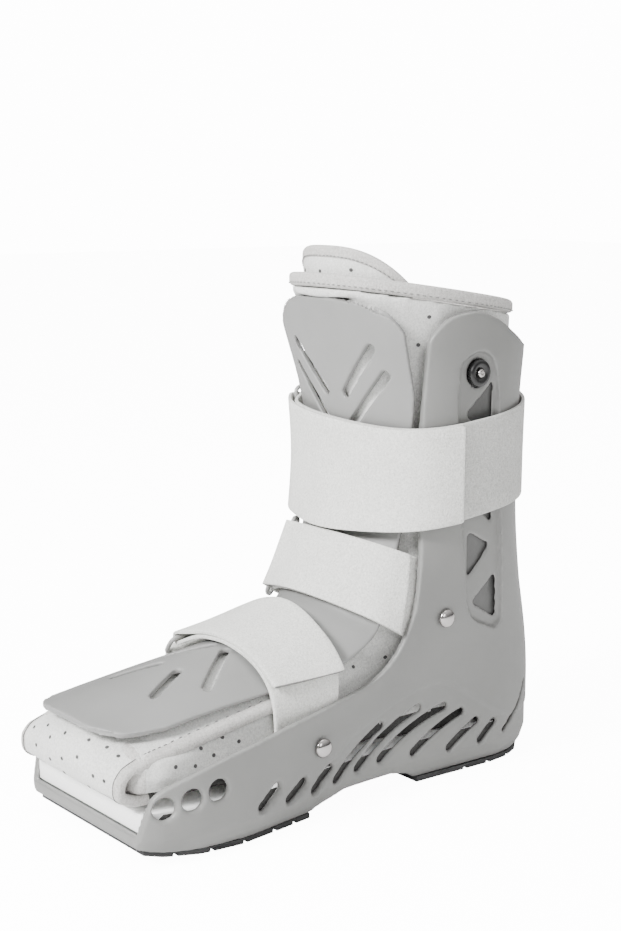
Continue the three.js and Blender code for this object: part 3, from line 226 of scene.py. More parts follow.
def shell_ring(level, inset):
    zs = [row[0] for row in SHELL_LEVELS]
    heights = [height(z) for z in zs]
    draw = float(np.interp(height(level), heights, [row[1] for row in SHELL_LEVELS]))
    grow = float(monotone(heights, [row[2] for row in SHELL_LEVELS], height(level))[0])
    share = smoothstep(level, *LEG_BLEND)
    turn = np.radians(PLAN[:, 2])
    leg_x = np.abs(np.sin(turn)) ** (2 / LEG_SQUARENESS) * LEG_HALF_WIDTH * mix(1, grow, 0.5)
    cosine = np.cos(turn)
    leg_y = LEG_CENTRE - np.sign(cosine) * np.abs(cosine) ** (2 / LEG_SQUARENESS) * LEG_HALF_DEPTH * grow
    half = np.stack([mix(PLAN[:, 0], leg_x, share), mix(PLAN[:, 1], leg_y, share)], axis=1)
    half[0, 0] = half[-1, 0] = 0
    ring = np.concatenate([half, (half[1:-1] * [-1, 1])[::-1]])
    ahead = np.roll(ring, -1, axis=0) - np.roll(ring, 1, axis=0)
    normal = np.stack([ahead[:, 1], -ahead[:, 0]], axis=1)
    normal /= np.linalg.norm(normal, axis=1)[:, None]
    return ring - normal * (inset + draw)


def shell_half(y, level, inset):
    ring = shell_ring(level, inset)
    side = ring[: len(PLAN)]
    return float(np.interp(y, side[:, 1], side[:, 0]))


def placed(name, data):
    made = bpy.data.objects.new(name, data)
    bpy.context.scene.collection.objects.link(made)
    return made


def smooth_faces(made):
    made.data.polygons.foreach_set("use_smooth", [True] * len(made.data.polygons))
    return made


# Meshes from points in millimetres, with every face turned outward
def piece_from(name, points, faces):
    mesh = bpy.data.meshes.new(name)
    mesh.from_pydata([tuple(np.asarray(p) * MM) for p in points], [], faces)
    mesh.validate()
    made = placed(name, mesh)
    work = bmesh.new()
    work.from_mesh(mesh)
    bmesh.ops.remove_doubles(work, verts=work.verts, dist=1e-7)
    bmesh.ops.recalc_face_normals(work, faces=work.faces)
    work.to_mesh(mesh)
    work.free()
    return made


# Quads between rings of points that follow one another, with a face on each open end
def ring_faces(count, rings, base=0, closed=False, first_end=True):
    faces = []
    for level in range(rings if closed else rings - 1):
        here, after = base + level * count, base + (level + 1) % rings * count
        for i in range(count):
            j = (i + 1) % count
            faces.append((here + i, here + j, after + j, after + i))
    if not closed:
        if first_end:
            faces.append(tuple(range(base, base + count))[::-1])
        faces.append(tuple(range(base + (rings - 1) * count, base + rings * count)))
    return faces


def stack(name, rings, closed=False):
    points = [p for ring in rings for p in ring]
    return piece_from(name, points, ring_faces(len(rings[0]), len(rings), closed=closed))


def side_prism(name, outline, from_x, to_x):
    return stack(name, [[(x, y, z) for y, z in outline] for x in (from_x, to_x)])


def apply_all(made):
    with bpy.context.temp_override(object=made, active_object=made, selected_objects=[made]):
        for modifier in list(made.modifiers):
            bpy.ops.object.modifier_apply(modifier=modifier.name)
    return made


def cut(made, cutters, operation="DIFFERENCE"):
    for cutter in cutters:
        modifier = made.modifiers.new("cut", "BOOLEAN")
        modifier.operation = operation
        modifier.solver = "MANIFOLD"
        modifier.object = cutter
    apply_all(made)
    for cutter in cutters:
        bpy.data.objects.remove(cutter)
    return made


def soften(made, voxel, passes, keep=None):
    remesh = made.modifiers.new("remesh", "REMESH")
    remesh.mode = "VOXEL"
    remesh.voxel_size = voxel * MM
    relax = made.modifiers.new("relax", "SMOOTH")
    relax.factor = 0.5
    relax.iterations = passes
    if keep:
        thin = made.modifiers.new("thin", "DECIMATE")
        thin.ratio = keep
    apply_all(made)
    return smooth_faces(made)


def slot_outline(start, end, width, bow=0, steps=8):
    start, end = np.asarray(start, float), np.asarray(end, float)
    line = end - start
    side = np.array([-line[1], line[0]]) / np.linalg.norm(line)
    spine = [start + line * t + side * bow * 4 * t * (1 - t) for t in np.linspace(0, 1, 7)]
    heads = [spine[min(i + 1, 6)] - spine[max(i - 1, 0)] for i in range(7)]
    sides = [np.array([-h[1], h[0]]) / np.linalg.norm(h) * width / 2 for h in heads]
    left = [p + s for p, s in zip(spine, sides)]
    right = [p - s for p, s in zip(spine, sides)]
    points = list(right)
    for centre, head in ((end, heads[-1]), (start, -heads[0])):
        facing = math.atan2(head[1], head[0])
        for step in range(1, steps):
            angle = facing - math.pi / 2 + step * math.pi / steps
            points.append(centre + np.array([math.cos(angle), math.sin(angle)]) * width / 2)
        if centre is end:
            points.extend(left[::-1])
    return [tuple(p) for p in points]


def circle_outline(centre, diameter, sides=40):
    turns = np.linspace(0, 2 * math.pi, sides, endpoint=False)
    return [(centre[0] + math.cos(t) * diameter / 2, centre[1] + math.sin(t) * diameter / 2) for t in turns]


def round_corners(outline, radius, steps=6):
    points = []
    count = len(outline)
    for i, corner in enumerate(outline):
        here = np.asarray(corner, float)
        before, after = np.asarray(outline[i - 1]) - here, np.asarray(outline[(i + 1) % count]) - here
        reach = min(radius * 1.6, np.linalg.norm(before) / 2.2, np.linalg.norm(after) / 2.2)
        start = here + before / np.linalg.norm(before) * reach
        end = here + after / np.linalg.norm(after) * reach
        for t in np.linspace(0, 1, steps):
            points.append(tuple((1 - t) ** 2 * start + 2 * t * (1 - t) * here + t**2 * end))
    return points


def spot(pair):
    return along(pair[0]), height(pair[1])


BEYOND = 2 * LEG_HALF_WIDTH


def both_sides(outline):
    return [
        side_prism("cutter", outline, HEEL_HALF_WIDTH / 2, BEYOND),
        side_prism("cutter", outline, -BEYOND, -HEEL_HALF_WIDTH / 2),
    ]


def joined(pieces):
    work = bmesh.new()
    for made in pieces:
        work.from_mesh(made.data)
        bpy.data.objects.remove(made)
    mesh = bpy.data.meshes.new("joined")
    work.to_mesh(mesh)
    work.free()
    return placed("joined", mesh)


# The field that the side slots lie in, y and z in millimetres, and how deep it and the rims in it are
SLOT_FIELD = [
    (-94, -5), (-92, 12), (-82, 28), (-70, 37), (-54, 43), (-38, 49), (-22.5, 53.5), (-7, 55), (2, 52),
    (9, 48), (22, 39), (31.5, 33), (39, 28.5), (50, 26), (62, 27), (95, 30), (95, -5),
]
FIELD_DEPTH = 0.7
RIM_WIDTH = 1.3
RIM_DEPTH = 0.8
WINDOW_RIM = 1.2
CHANNEL_BED = CHANNEL_DEPTH + 0.4
CHANNEL_ROUND = 4
WINDOW_ROUND = 2.4
VALVE_SEAT_DIAMETER = VALVE_DIAMETER + 7
LOFT_STEPS, RIM_POINTS = 46, 140
# The toe's mouth: from where to where along the foot, up to which height, and the half width that is open
TOE_MOUTH_FRONT, TOE_MOUTH_BACK, TOE_MOUTH_TOP = -1.1, -0.96, 0.6
TOE_MOUTH_HALF = 0.82 * FOOT_HALF_WIDTH - 1
TOE_FLOOR_BACK = -0.72
PAST_TOE, PAST_HEEL, PAST_TOP = -1.2, 1.2, 2.2
# How each moulding is softened: voxels in millimetres, passes of smoothing, share of the faces kept
SHELL_SOFTNESS = (0.85, 4, 0.265)
PLATE_SOFTNESS = (0.8, 4, 0.5)
LINER_SOFTNESS = (1.6, 6, 0.9)
CELL_SOFTNESS = (0.8, 6)


def grown(outline, by):
    points = np.asarray(outline)
    middle = points.mean(axis=0)
    reach = np.linalg.norm(points - middle, axis=1)[:, None]
    return [tuple(p) for p in middle + (points - middle) * (1 + by / reach)]


# Sinks an outline on both sides of the shell to a depth
def sunk(shell, outline, depth):
    for side in both_sides(outline):
        cut(shell, [cut(side, [shell_loft("bed", depth)])])


def shell_loft(name, inset):
    sole_edge = [row[0] for row in SHELL_LEVELS[1:3]]
    levels = np.unique(np.concatenate([np.linspace(0, SHELL_LEVELS[-1][0], LOFT_STEPS), sole_edge]))
    return stack(name, [[(x, y, height(z)) for x, y in shell_ring(z, inset)] for z in levels])


# The shell, with every edge softened as moulding leaves it
def make_shell():
    shell = shell_loft("shell_moulding", 0)
    rim = smooth_line([spot(p) for p in RIM_LINE], RIM_POINTS)
    outline = [spot(p) for p in SOLE_LINE] + [tuple(p) for p in rim]
    cut(shell, [side_prism("silhouette", outline, -BEYOND, BEYOND)], "INTERSECT")
    floor = [
        (along(PAST_TOE), TOE_LIP_TOP), (along(TOE_FLOOR_BACK), FLOOR_TOP), (along(PAST_HEEL), FLOOR_TOP),
        (along(PAST_HEEL), height(PAST_TOP)), (along(PAST_TOE), height(PAST_TOP)),
    ]
    cavity = cut(shell_loft("cavity", WALL), [side_prism("floor", floor, -BEYOND, BEYOND)], "INTERSECT")
    front, back = along(TOE_MOUTH_FRONT), along(TOE_MOUTH_BACK)
    half = TOE_MOUTH_HALF
    mouth = [(-half, front), (half, front), (half, back), (-half, back)]
    opening = stack("opening", [[(x, y, z) for x, y in mouth] for z in (TOE_LIP_TOP, height(TOE_MOUTH_TOP))])
    cut(shell, [cavity])
    cut(shell, [opening])

    def side_slot(row, width):
        y, z, to_y, to_z, bow = row
        return slot_outline(spot((y, z)), spot((to_y, to_z)), width, bow)

    sunk(shell, round_corners([spot(p) for p in CHANNEL], CHANNEL_ROUND), CHANNEL_BED)
    sunk(shell, SLOT_FIELD, FIELD_DEPTH)
    for row in SIDE_SLOTS:
        sunk(shell, side_slot(row, SLOT_WIDTH + 2 * RIM_WIDTH), RIM_DEPTH + FIELD_DEPTH)
    for corners in WINDOWS:
        window = round_corners([spot(p) for p in corners], WINDOW_ROUND + 0.4)
        sunk(shell, grown(window, WINDOW_RIM), CHANNEL_BED + RIM_DEPTH / 2)
    for hole in TOE_HOLES:
        sunk(shell, circle_outline(spot(hole), TOE_HOLE_DIAMETER + 2 * RIM_WIDTH), RIM_DEPTH)
    sunk(shell, circle_outline(spot(VALVE), VALVE_SEAT_DIAMETER), CHANNEL_BED)

    cutters = []
    for corners in WINDOWS:
        cutters += both_sides(round_corners([spot(p) for p in corners], WINDOW_ROUND))
    cut(shell, [joined(cutters)])
    cutters = []
    for row in SIDE_SLOTS:
        cutters += both_sides(side_slot(row, SLOT_WIDTH))
    cutters += both_sides(side_slot(HEEL_SLIT, HEEL_SLIT_WIDTH))
    for hole in TOE_HOLES:
        cutters += both_sides(circle_outline(spot(hole), TOE_HOLE_DIAMETER))
    for rivet in RIVETS.values():
        cutters += both_sides(circle_outline(spot(rivet), RIVET_SHANK + 2 * GAP))
    valve_hole = circle_outline(spot(VALVE), VALVE_DIAMETER + 2 * GAP)
    cutters.append(side_prism("valve_hole", valve_hole, HEEL_HALF_WIDTH / 2, BEYOND))
    cut(shell, [joined(cutters)])
    return soften(shell, *SHELL_SOFTNESS)


# The plates, along one curve over the foot and up the shin
def catmull(points, share):
    points = np.asarray(points, float)
    at = share * (len(points) - 1)
    i = min(int(at), len(points) - 2)
    t = at - i
    p1, p2 = points[i], points[i + 1]
    p0 = points[i - 1] if i > 0 else 2 * p1 - p2
    p3 = points[i + 2] if i + 2 < len(points) else 2 * p2 - p1
    d0, d1, d2 = (max(float(np.linalg.norm(b - a)), 1e-6) ** 0.5 for a, b in ((p0, p1), (p1, p2), (p2, p3)))
    t1 = ((p1 - p0) / d0 - (p2 - p0) / (d0 + d1) + (p2 - p1) / d1) * d1
    t2 = ((p2 - p1) / d1 - (p3 - p1) / (d1 + d2) + (p3 - p2) / d2) * d1
    value = p1 + t1 * t + (-3 * p1 + 3 * p2 - 2 * t1 - t2) * t**2 + (2 * p1 - 2 * p2 + t1 + t2) * t**3
    slope = t1 + 2 * (-3 * p1 + 3 * p2 - 2 * t1 - t2) * t + 3 * (2 * p1 - 2 * p2 + t1 + t2) * t**2
    return value, slope / max(float(np.linalg.norm(slope)), 1e-9)


def column_at(table, share, column):
    return float(np.interp(share * (len(table) - 1), range(len(table)), [row[column] for row in table]))


FRONT = [spot(row[:2]) for row in FRONT_LINE]
FLAP_LINE = [spot(row[:2]) for row in TOE_FLAP]


def front_point(share, across, offset):
    (y, z), (ty, tz) = catmull(FRONT, share)
    half, drop = column_at(FRONT_LINE, share, 2), column_at(FRONT_LINE, share, 3)
    lean = math.atan2(2 * drop * across, half)
    fall = drop * across * across - offset * math.cos(lean)
    return across * half + math.sin(lean) * offset, y + tz * fall, z - ty * fall


# How much the padding swells under the plate, where along the flap that ends, and how far across
FLAP_SWELL = 2.6
FLAP_SWELL_END = (0.2, 0.42)
FLAP_SWELL_ACROSS = 0.85


def flap_pad_point(share, across, offset):
    swell = FLAP_SWELL * (1 - smoothstep(share, *FLAP_SWELL_END))
    swell *= max(0.0, 1 - (across / FLAP_SWELL_ACROSS) ** 4)
    return flap_point(share, across, offset + swell * smoothstep(offset, -FLAP, 0))


def flap_point(share, across, offset):
    (y, z), (ty, tz) = catmull(FLAP_LINE, share)
    half, drop = column_at(TOE_FLAP, share, 2) * FOOT_HALF_WIDTH, column_at(TOE_FLAP, share, 3)
    fall = drop * across * across - offset
    return across * half, y - tz * fall, z + ty * fall


# How a sheet's open ends are rounded: share of its length, share of its thickness
ROUND_START = [(0.0, 0.35), (0.001, 0.7), (0.003, 1.0)]
ROUND_END = [(0.997, 1.0), (0.999, 0.7), (1.0, 0.35)]
ROUND_STEPS = 5


# A sheet with a thickness and rounded edges. place(u, v, offset) gives a point; v runs across its width.
def rounded_sheet(name, place, width, span, layer, steps, across, radius, closed=False):
    (v_from, v_to), (low, high) = span, layer
    radius = min(radius, (high - low) / 2)
    edge = radius / width * (v_to - v_from)
    right, left, top, bottom = v_to - edge, v_from + edge, high - radius, low + radius

    def quarter(v, offset, start, skip):
        for k in range(skip, ROUND_STEPS + skip):
            angle = start - k * math.pi / 2 / ROUND_STEPS
            yield v + edge * math.cos(angle), offset + radius * math.sin(angle)

    section = [(v, high) for v in np.linspace(left, right, across + 1)]
    section += [*quarter(right, top, math.pi / 2, 1), *quarter(right, bottom, 0, 0)]
    section += [(v, low) for v in np.linspace(right, left, across + 1)]
    section += [*quarter(left, bottom, -math.pi / 2, 1), *quarter(left, top, math.pi, 0)]
    middle = (low + high) / 2
    shares = [(u, 1.0) for u in np.linspace(0, 1, steps + 1)]
    shares = shares[:-1] if closed else ROUND_START + shares[1:-1] + ROUND_END
    rings = [[place(u, v, middle + (offset - middle) * full) for v, offset in section] for u, full in shares]
    return smooth_faces(stack(name, rings, closed))


# Points across a plate, and along each
PLATE_ACROSS, FOOT_PLATE_ALONG, SHIN_PLATE_ALONG = 45, 90, 70


def make_plate(name, span, cutters, steps):
    start_at, end_at, round_from, round_to = PLATE_SPANS[span]

    def place(u, v, offset):
        across = math.sin((v - 0.5) * math.pi)
        start = start_at + round_from * across**4
        end = end_at - round_to * (across**8 + 0.4 * across**2)
        return front_point(min(1, max(0, mix(start, end, u))), across, offset)

    rings = []
    shares = np.linspace(0, 1, PLATE_ACROSS)
    for u in np.linspace(0, 1, steps):
        upper = [place(u, v, 0) for v in shares]
        lower = [place(u, v, -PLATE) for v in shares[::-1]]
        rings.append(upper + lower)
    plate = stack(name, rings)
    cut(plate, [joined(cutters)])
    return soften(plate, *PLATE_SOFTNESS)


def make_plates():
    cutters = []
    for x, y, to_x, to_y in FOOT_PLATE_SLOTS:
        for side in (1, -1):
            outline = slot_outline((side * x, along(y)), (side * to_x, along(to_y)), PLATE_SLOT_WIDTH)
            cutters.append(stack("slot", [[(u, v, height(z)) for u, v in outline] for z in (0.5, 1.1)]))
    foot = make_plate("foot_plate_moulding", "foot", cutters, FOOT_PLATE_ALONG)
    cutters = []
    for x, z, to_x, to_z in SHIN_PLATE_SLOTS:
        for side in (1, -1):
            outline = slot_outline((side * x, height(z)), (side * to_x, height(to_z)), PLATE_SLOT_WIDTH)
            cutters.append(stack("slot", [[(u, along(y), v) for u, v in outline] for y in (-0.5, -0.05)]))
    shin = make_plate("shin_plate_moulding", "shin", cutters, SHIN_PLATE_ALONG)
    return foot, shin


# Where the leg's middle lies between its front and its back, and how square its section is
LEG_MIDDLE = 0.53
LINER_SQUARENESS = 0.9
# Between which levels the collar flares and tilts, and the flare's shares at the front and the back
FLARE_LEVELS, TILT_LEVELS = (1.9, 2.1), (1.6, 2.05)
FRONT_FLARE, BACK_FLARE = 0.3, -0.5


# A point on the liner's leg; an angle of 0 is the front
def leg_point(level, angle, inset, lift=0.0):
    within = min(level, 2)
    front = along(float(np.interp(within, [r[0] for r in LINER_LEG], [r[1] for r in LINER_LEG]))) + inset
    step = WALL + SIDE_ROOM + inset
    ring = shell_ring(within, step)
    back = float(ring[:, 1].max())
    centre = mix(front, back, LEG_MIDDLE)
    half = float(np.interp(centre, ring[: len(PLAN), 1], ring[: len(PLAN), 0]))
    flare = smoothstep(level, *FLARE_LEVELS) * COLLAR_FLARE
    tilt = smoothstep(level, *TILT_LEVELS) * math.tan(math.radians(COLLAR_TILT))
    ahead = math.cos(angle) > 0
    reach = centre - front if ahead else back - centre
    x = power(math.sin(angle), LINER_SQUARENESS) * (half + flare)
    flare_share = FRONT_FLARE if ahead else BACK_FLARE
    y = centre - power(math.cos(angle), LINER_SQUARENESS) * (reach + flare * flare_share)
    return x, y, height(level) + lift + (centre - y) * tilt


def collar_place(u, v, offset):
    return leg_point(COLLAR_TOP, 2 * math.pi * u, -offset, (GAP - BINDING_WIDTH) * (1 - v))


def make_collar():
    layer = (-PAD - BINDING_PROUD, BINDING_PROUD)
    return rounded_sheet(
        "collar_tape", collar_place, BINDING_WIDTH, (0, 1), layer,
        steps=120, across=8, closed=True, radius=2.4,
    )


TONGUE_SET = (COLLAR_TOP - TONGUE_ROOT) * LEG_HEIGHT
TONGUE_SEAT = PAD + 2 * BINDING_PROUD + 2 * GAP
TONGUE_DIP = 2


def tongue_point(share, rise, offset):
    angle = math.radians(mix(-TONGUE_TURN, TONGUE_TURN, share))
    level = min(COLLAR_TOP, TONGUE_ROOT + rise / LEG_HEIGHT)
    return leg_point(level, angle, TONGUE_SEAT - offset, max(0, rise - TONGUE_SET))


def tongue_top(share):
    crest = 1 - abs(2 * share - 1) ** 3
    return TONGUE_SET - TONGUE_DIP + (TONGUE_RISE + TONGUE_DIP) * crest


def tongue_pad_place(u, v, offset):
    return tongue_point(u, (tongue_top(u) - BINDING_WIDTH / 2) * v, offset)


def tongue_tape_place(u, v, offset):
    return tongue_point(u, tongue_top(u) - (BINDING_WIDTH - GAP) * (1 - v), offset)


# Widths of the tongue's and the flap's padding, and how far the flap's goes into its tapes
TONGUE_PAD_WIDTH = 60
FLAP_PAD_WIDTH = 80
FLAP_TUCK = 2.5


def make_tongue():
    layer = (-TONGUE_THICK, 0)
    body = rounded_sheet(
        "tongue_pad", tongue_pad_place, TONGUE_PAD_WIDTH, (0, 1), layer, steps=60, across=24, radius=1.8
    )
    layer = (-TONGUE_THICK - BINDING_PROUD, BINDING_PROUD)
    edge = rounded_sheet(
        "tongue_tape", tongue_tape_place, BINDING_WIDTH, (0, 1), layer, steps=60, across=8, radius=2.2
    )
    return body, edge


def make_toe_flap():
    start = 1 - FLAP_BINDING_SHARE
    reach = start + FLAP_TUCK / (FOOT_HALF_WIDTH * TOE_FLAP[0][2])
    span = (-reach, reach)
    body = rounded_sheet(
        "toe_flap_pad", flap_pad_point, FLAP_PAD_WIDTH, span, (-FLAP, 0), steps=60, across=36, radius=1.6
    )
    layer = (-FLAP - BINDING_PROUD, BINDING_PROUD)
    tapes = [
        rounded_sheet(
            "toe_flap_tape_" + side, flap_point, BINDING_WIDTH, share, layer, steps=60, across=8, radius=2.3
        )
        for side, share in (("near", (start, 1)), ("far", (-1, -start)))
    ]
    return body, *tapes


# The lower padding lies in the shell's shade, behind its slots and holes, and its faces there get a darker
# cloth as painted shade
SHADE_BELOW = 37
# How far ahead the shade reaches, under the liner and at the toe
LINER_SHADE, TOE_SHADE = 170, 190
SIDE_FACING = 0.25


def shade_inside(made, behind, sides_only=True):
    made.data.materials.append(PAINTED_SHADE_CLOTH)
    last = len(made.data.materials) - 1
    for face in made.data.polygons:
        x, y, z = face.center / MM
        if z < SHADE_BELOW and y > -behind and (abs(face.normal.x) > SIDE_FACING or not sides_only):
            face.material_index = last


# A copy of a solid, for the pieces whose form the solid already gives
def copy_of(node, name):
    made = placed(name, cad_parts[node].data.copy())
    made.data.materials.clear()
    work = bmesh.new()
    work.from_mesh(made.data)
    bmesh.ops.remove_doubles(work, verts=work.verts, dist=1e-6)
    work.to_mesh(made.data)
    work.free()
    return made


# The padding's toe end is blunt, and swells out to meet the flap that is rolled over it
SWELL_FROM, SWELL_TO, TAPED_FROM = 150, 188, 192.5
TOE_STRETCH = 8.5
TOE_MIDDLE = 44
TOE_WIDEN, TOE_RAISE = 0.15, 0.3
RAISE_ACROSS = (15, 40)
# The padding's upper edge stands up beside the plate: how far, and from where to where across, back and up
EDGE_RISE = 3.2
EDGE_ACROSS, EDGE_ALONG, EDGE_UP = (20, 44), (80, 130), (42, 52)
# The toe end's tape is a step thicker than the padding beside it
TAPE_STEP = 0.7 / 45
TAPE_RUN = 1.2


def swollen_toe(made):
    for vertex in made.data.vertices:
        x, y, z = vertex.co / MM
        share = smoothstep(-y, SWELL_FROM, SWELL_TO)
        above = max(0.0, z - TOE_MIDDLE)
        edge = smoothstep(abs(x), *EDGE_ACROSS) * smoothstep(-y, *EDGE_ALONG)
        y -= TOE_STRETCH * share
        tape = TAPE_STEP * smoothstep(-y, TAPED_FROM - TAPE_RUN, TAPED_FROM)
        x *= 1 + TOE_WIDEN * share + tape
        raised = above * TOE_RAISE * share * smoothstep(abs(x), *RAISE_ACROSS)
        z += raised + edge * EDGE_RISE * smoothstep(z, *EDGE_UP)
        vertex.co = Vector((x, y, z)) * MM
    return made


# How squarely a face has to look along the strap to be its cut end, and how far back it may lie, in metres
CUT_FACING, CUT_BACK = 0.82, 0.03
SHARP_ANGLE, EDGE_CREASE, ROUND_LEVELS = math.radians(65), 0.9, 3


# Webbing: the solid's strips made into quads again, sharp at the edges and round along the strap
def make_webbing(node, name, cut_end=None):
    made = copy_of(node, name)
    work = bmesh.new()
    work.from_mesh(made.data)
    bmesh.ops.join_triangles(
        work, faces=work.faces, angle_face_threshold=0.9, angle_shape_threshold=1.2,
        cmp_seam=False, cmp_sharp=False,
    )
    if cut_end:
        facing, lift, beyond_x = cut_end
        for face in work.faces:
            middle = face.calc_center_median()
            if face.normal.dot(Vector(facing)) > CUT_FACING and middle.x > beyond_x and middle.y < CUT_BACK:
                # The cut end takes the second slot, a dark grey that is painted shade under the lifted end
                face.material_index = 1
                for vertex in face.verts:
                    vertex.tag = True
        for vertex in work.verts:
            if vertex.tag:
                vertex.co += Vector(lift) * MM
    crease = work.edges.layers.float.new("crease_edge")
    for edge in work.edges:
        if len(edge.link_faces) == 2 and edge.calc_face_angle(0) > SHARP_ANGLE:
            edge[crease] = EDGE_CREASE
    work.to_mesh(made.data)
    work.free()
    rounder = made.modifiers.new("round", "SUBSURF")
    rounder.levels = rounder.render_levels = ROUND_LEVELS
    apply_all(made)
    return smooth_faces(made)


# Width in millimetres and number of steps
TURNED_BEVEL, TREAD_BEVEL, INSOLE_BEVEL = (0.25, 2), (0.6, 3), (1.4, 4)


def bevelled(made, width, segments):
    bevel = made.modifiers.new("bevel", "BEVEL")
    bevel.width = width * MM
    bevel.segments = segments
    bevel.limit_method = "ANGLE"
    bevel.angle_limit = math.radians(40)
    apply_all(made)
    return smooth_faces(made)


# Turned parts: rivets and the valve, set on the shell's side
def turned(name, profile, side, place, inset, sides=48):
    y, z = place
    reach = VALVE_DIAMETER / 3
    seat = max(
        shell_half(along(y) + across, z + up / (LEG_HEIGHT if z > 1 else FOOT_HEIGHT), inset)
        for across, up in ((0, 0), (reach, 0), (-reach, 0), (0, reach), (0, -reach))
    )
    rings = []
    for radius, out in profile:
        radius = max(radius, 0.02)
        rings.append([
            (side * (seat + out), along(y) + math.cos(t) * radius, height(z) + math.sin(t) * radius)
            for t in np.linspace(0, 2 * math.pi, sides, endpoint=False)
        ])
    made = stack(name, rings)
    smooth_faces(made)
    return bevelled(made, *TURNED_BEVEL)


RIVET_BRIM = GAP + 0.5
RIVET_TAIL = -WALL - 2


def make_rivet(name, side, place):
    steps = np.linspace(0, math.pi / 2, 10)
    base, shank = RIVET_HEAD / 2, RIVET_SHANK / 2
    profile = [(0, RIVET_TAIL), (shank, RIVET_TAIL), (shank, GAP), (base, GAP), (base, RIVET_BRIM)]
    profile += [(base * math.cos(a), RIVET_BRIM + RIVET_DOME * math.sin(a)) for a in steps[1:]]
    return turned(name, profile, side, place, 0)


# Materials
def group_sockets(tree, inputs, outputs):
    for name, kind, value in inputs:
        socket = tree.interface.new_socket(name, in_out="INPUT", socket_type=kind)
        if value is not None:
            socket.default_value = value
    for name, kind in outputs:
        tree.interface.new_socket(name, in_out="OUTPUT", socket_type=kind)
    return tree.nodes.new("NodeGroupInput"), tree.nodes.new("NodeGroupOutput")


def noise_node(tree, vector, scale, detail=2.0, rough=0.5):
    node = tree.nodes.new("ShaderNodeTexNoise")
    node.inputs["Scale"].default_value = scale
    node.inputs["Detail"].default_value = detail
    node.inputs["Roughness"].default_value = rough
    tree.links.new(vector, node.inputs["Vector"])
    return node


def math_node(tree, operation, a, b, clamp=False):
    node = tree.nodes.new("ShaderNodeMath")
    node.operation = operation
    node.use_clamp = clamp
    for socket, value in zip(node.inputs, (a, b)):
        if isinstance(value, (int, float)):
            socket.default_value = value
        elif value is not None:
            tree.links.new(value, socket)
    return node.outputs[0]


def ramp(tree, value, low, high, out_low, out_high):
    node = tree.nodes.new("ShaderNodeMapRange")
    for name, number in (("From Min", low), ("From Max", high), ("To Min", out_low), ("To Max", out_high)):
        node.inputs[name].default_value = number
    tree.links.new(value, node.inputs["Value"])
    return node.outputs["Result"]


# Fine grain and slow clouding, as moulded or cast material has
def grain_group():
    tree = bpy.data.node_groups.new("moulded_grain", "ShaderNodeTree")
    start, end = group_sockets(
        tree,
        [
            ("Vector", "NodeSocketVector", None), ("Grain Scale", "NodeSocketFloat", 900.0),
            ("Cloud Scale", "NodeSocketFloat", 14.0),
        ],
        [("Grain", "NodeSocketFloat"), ("Cloud", "NodeSocketFloat")],
    )
    fine = noise_node(tree, start.outputs["Vector"], 900.0, 3.0)
    tree.links.new(start.outputs["Grain Scale"], fine.inputs["Scale"])
    slow = noise_node(tree, start.outputs["Vector"], 14.0, 3.0)
    tree.links.new(start.outputs["Cloud Scale"], slow.inputs["Scale"])
    tree.links.new(fine.outputs["Fac"], end.inputs["Grain"])
    tree.links.new(slow.outputs["Fac"], end.inputs["Cloud"])
    return tree


# Painted highlight on the sharp edges and painted shade in the hollows, from the mesh's own sharpness
def edge_light_and_shade_group():
    tree = bpy.data.node_groups.new("painted_edge_highlight_and_hollow_shade", "ShaderNodeTree")
    start, end = group_sockets(
        tree,
        [("Vector", "NodeSocketVector", None), ("Amount", "NodeSocketFloat", 0.5)],
        [("Edge", "NodeSocketFloat"), ("Hollow", "NodeSocketFloat")],
    )
    shape = tree.nodes.new("ShaderNodeNewGeometry")
    breakup = noise_node(tree, start.outputs["Vector"], 160.0, 3.0)
    edge = ramp(tree, shape.outputs["Pointiness"], 0.515, 0.6, 0.0, 1.0)
    broken = math_node(tree, "MULTIPLY", edge, ramp(tree, breakup.outputs["Fac"], 0.3, 0.65, 0.35, 1.0))
    tree.links.new(math_node(tree, "MULTIPLY", broken, start.outputs["Amount"], True), end.inputs["Edge"])
    hollow = ramp(tree, shape.outputs["Pointiness"], 0.485, 0.42, 0.0, 1.0)
    tree.links.new(math_node(tree, "MULTIPLY", hollow, start.outputs["Amount"], True), end.inputs["Hollow"])
    return tree


# Looped pile or knit: small cells broken by noise
def pile_group():
    tree = bpy.data.node_groups.new("looped_pile", "ShaderNodeTree")
    start, end = group_sockets(
        tree,
        [("Vector", "NodeSocketVector", None), ("Loop Scale", "NodeSocketFloat", 1100.0)],
        [("Height", "NodeSocketFloat"), ("Speckle", "NodeSocketFloat")],
    )
    cells = tree.nodes.new("ShaderNodeTexVoronoi")
    tree.links.new(start.outputs["Vector"], cells.inputs["Vector"])
    tree.links.new(start.outputs["Loop Scale"], cells.inputs["Scale"])
    fuzz = noise_node(tree, start.outputs["Vector"], 1500.0, 3.0, 0.6)
    patches = noise_node(tree, start.outputs["Vector"], 800.0, 3.0, 0.6)
    loops = math_node(tree, "SUBTRACT", 1.0, cells.outputs["Distance"])
    tree.links.new(math_node(tree, "ADD", loops, fuzz.outputs["Fac"]), end.inputs["Height"])
    both = math_node(tree, "ADD", fuzz.outputs["Fac"], patches.outputs["Fac"])
    tree.links.new(math_node(tree, "MULTIPLY", both, 0.5), end.inputs["Speckle"])
    return tree


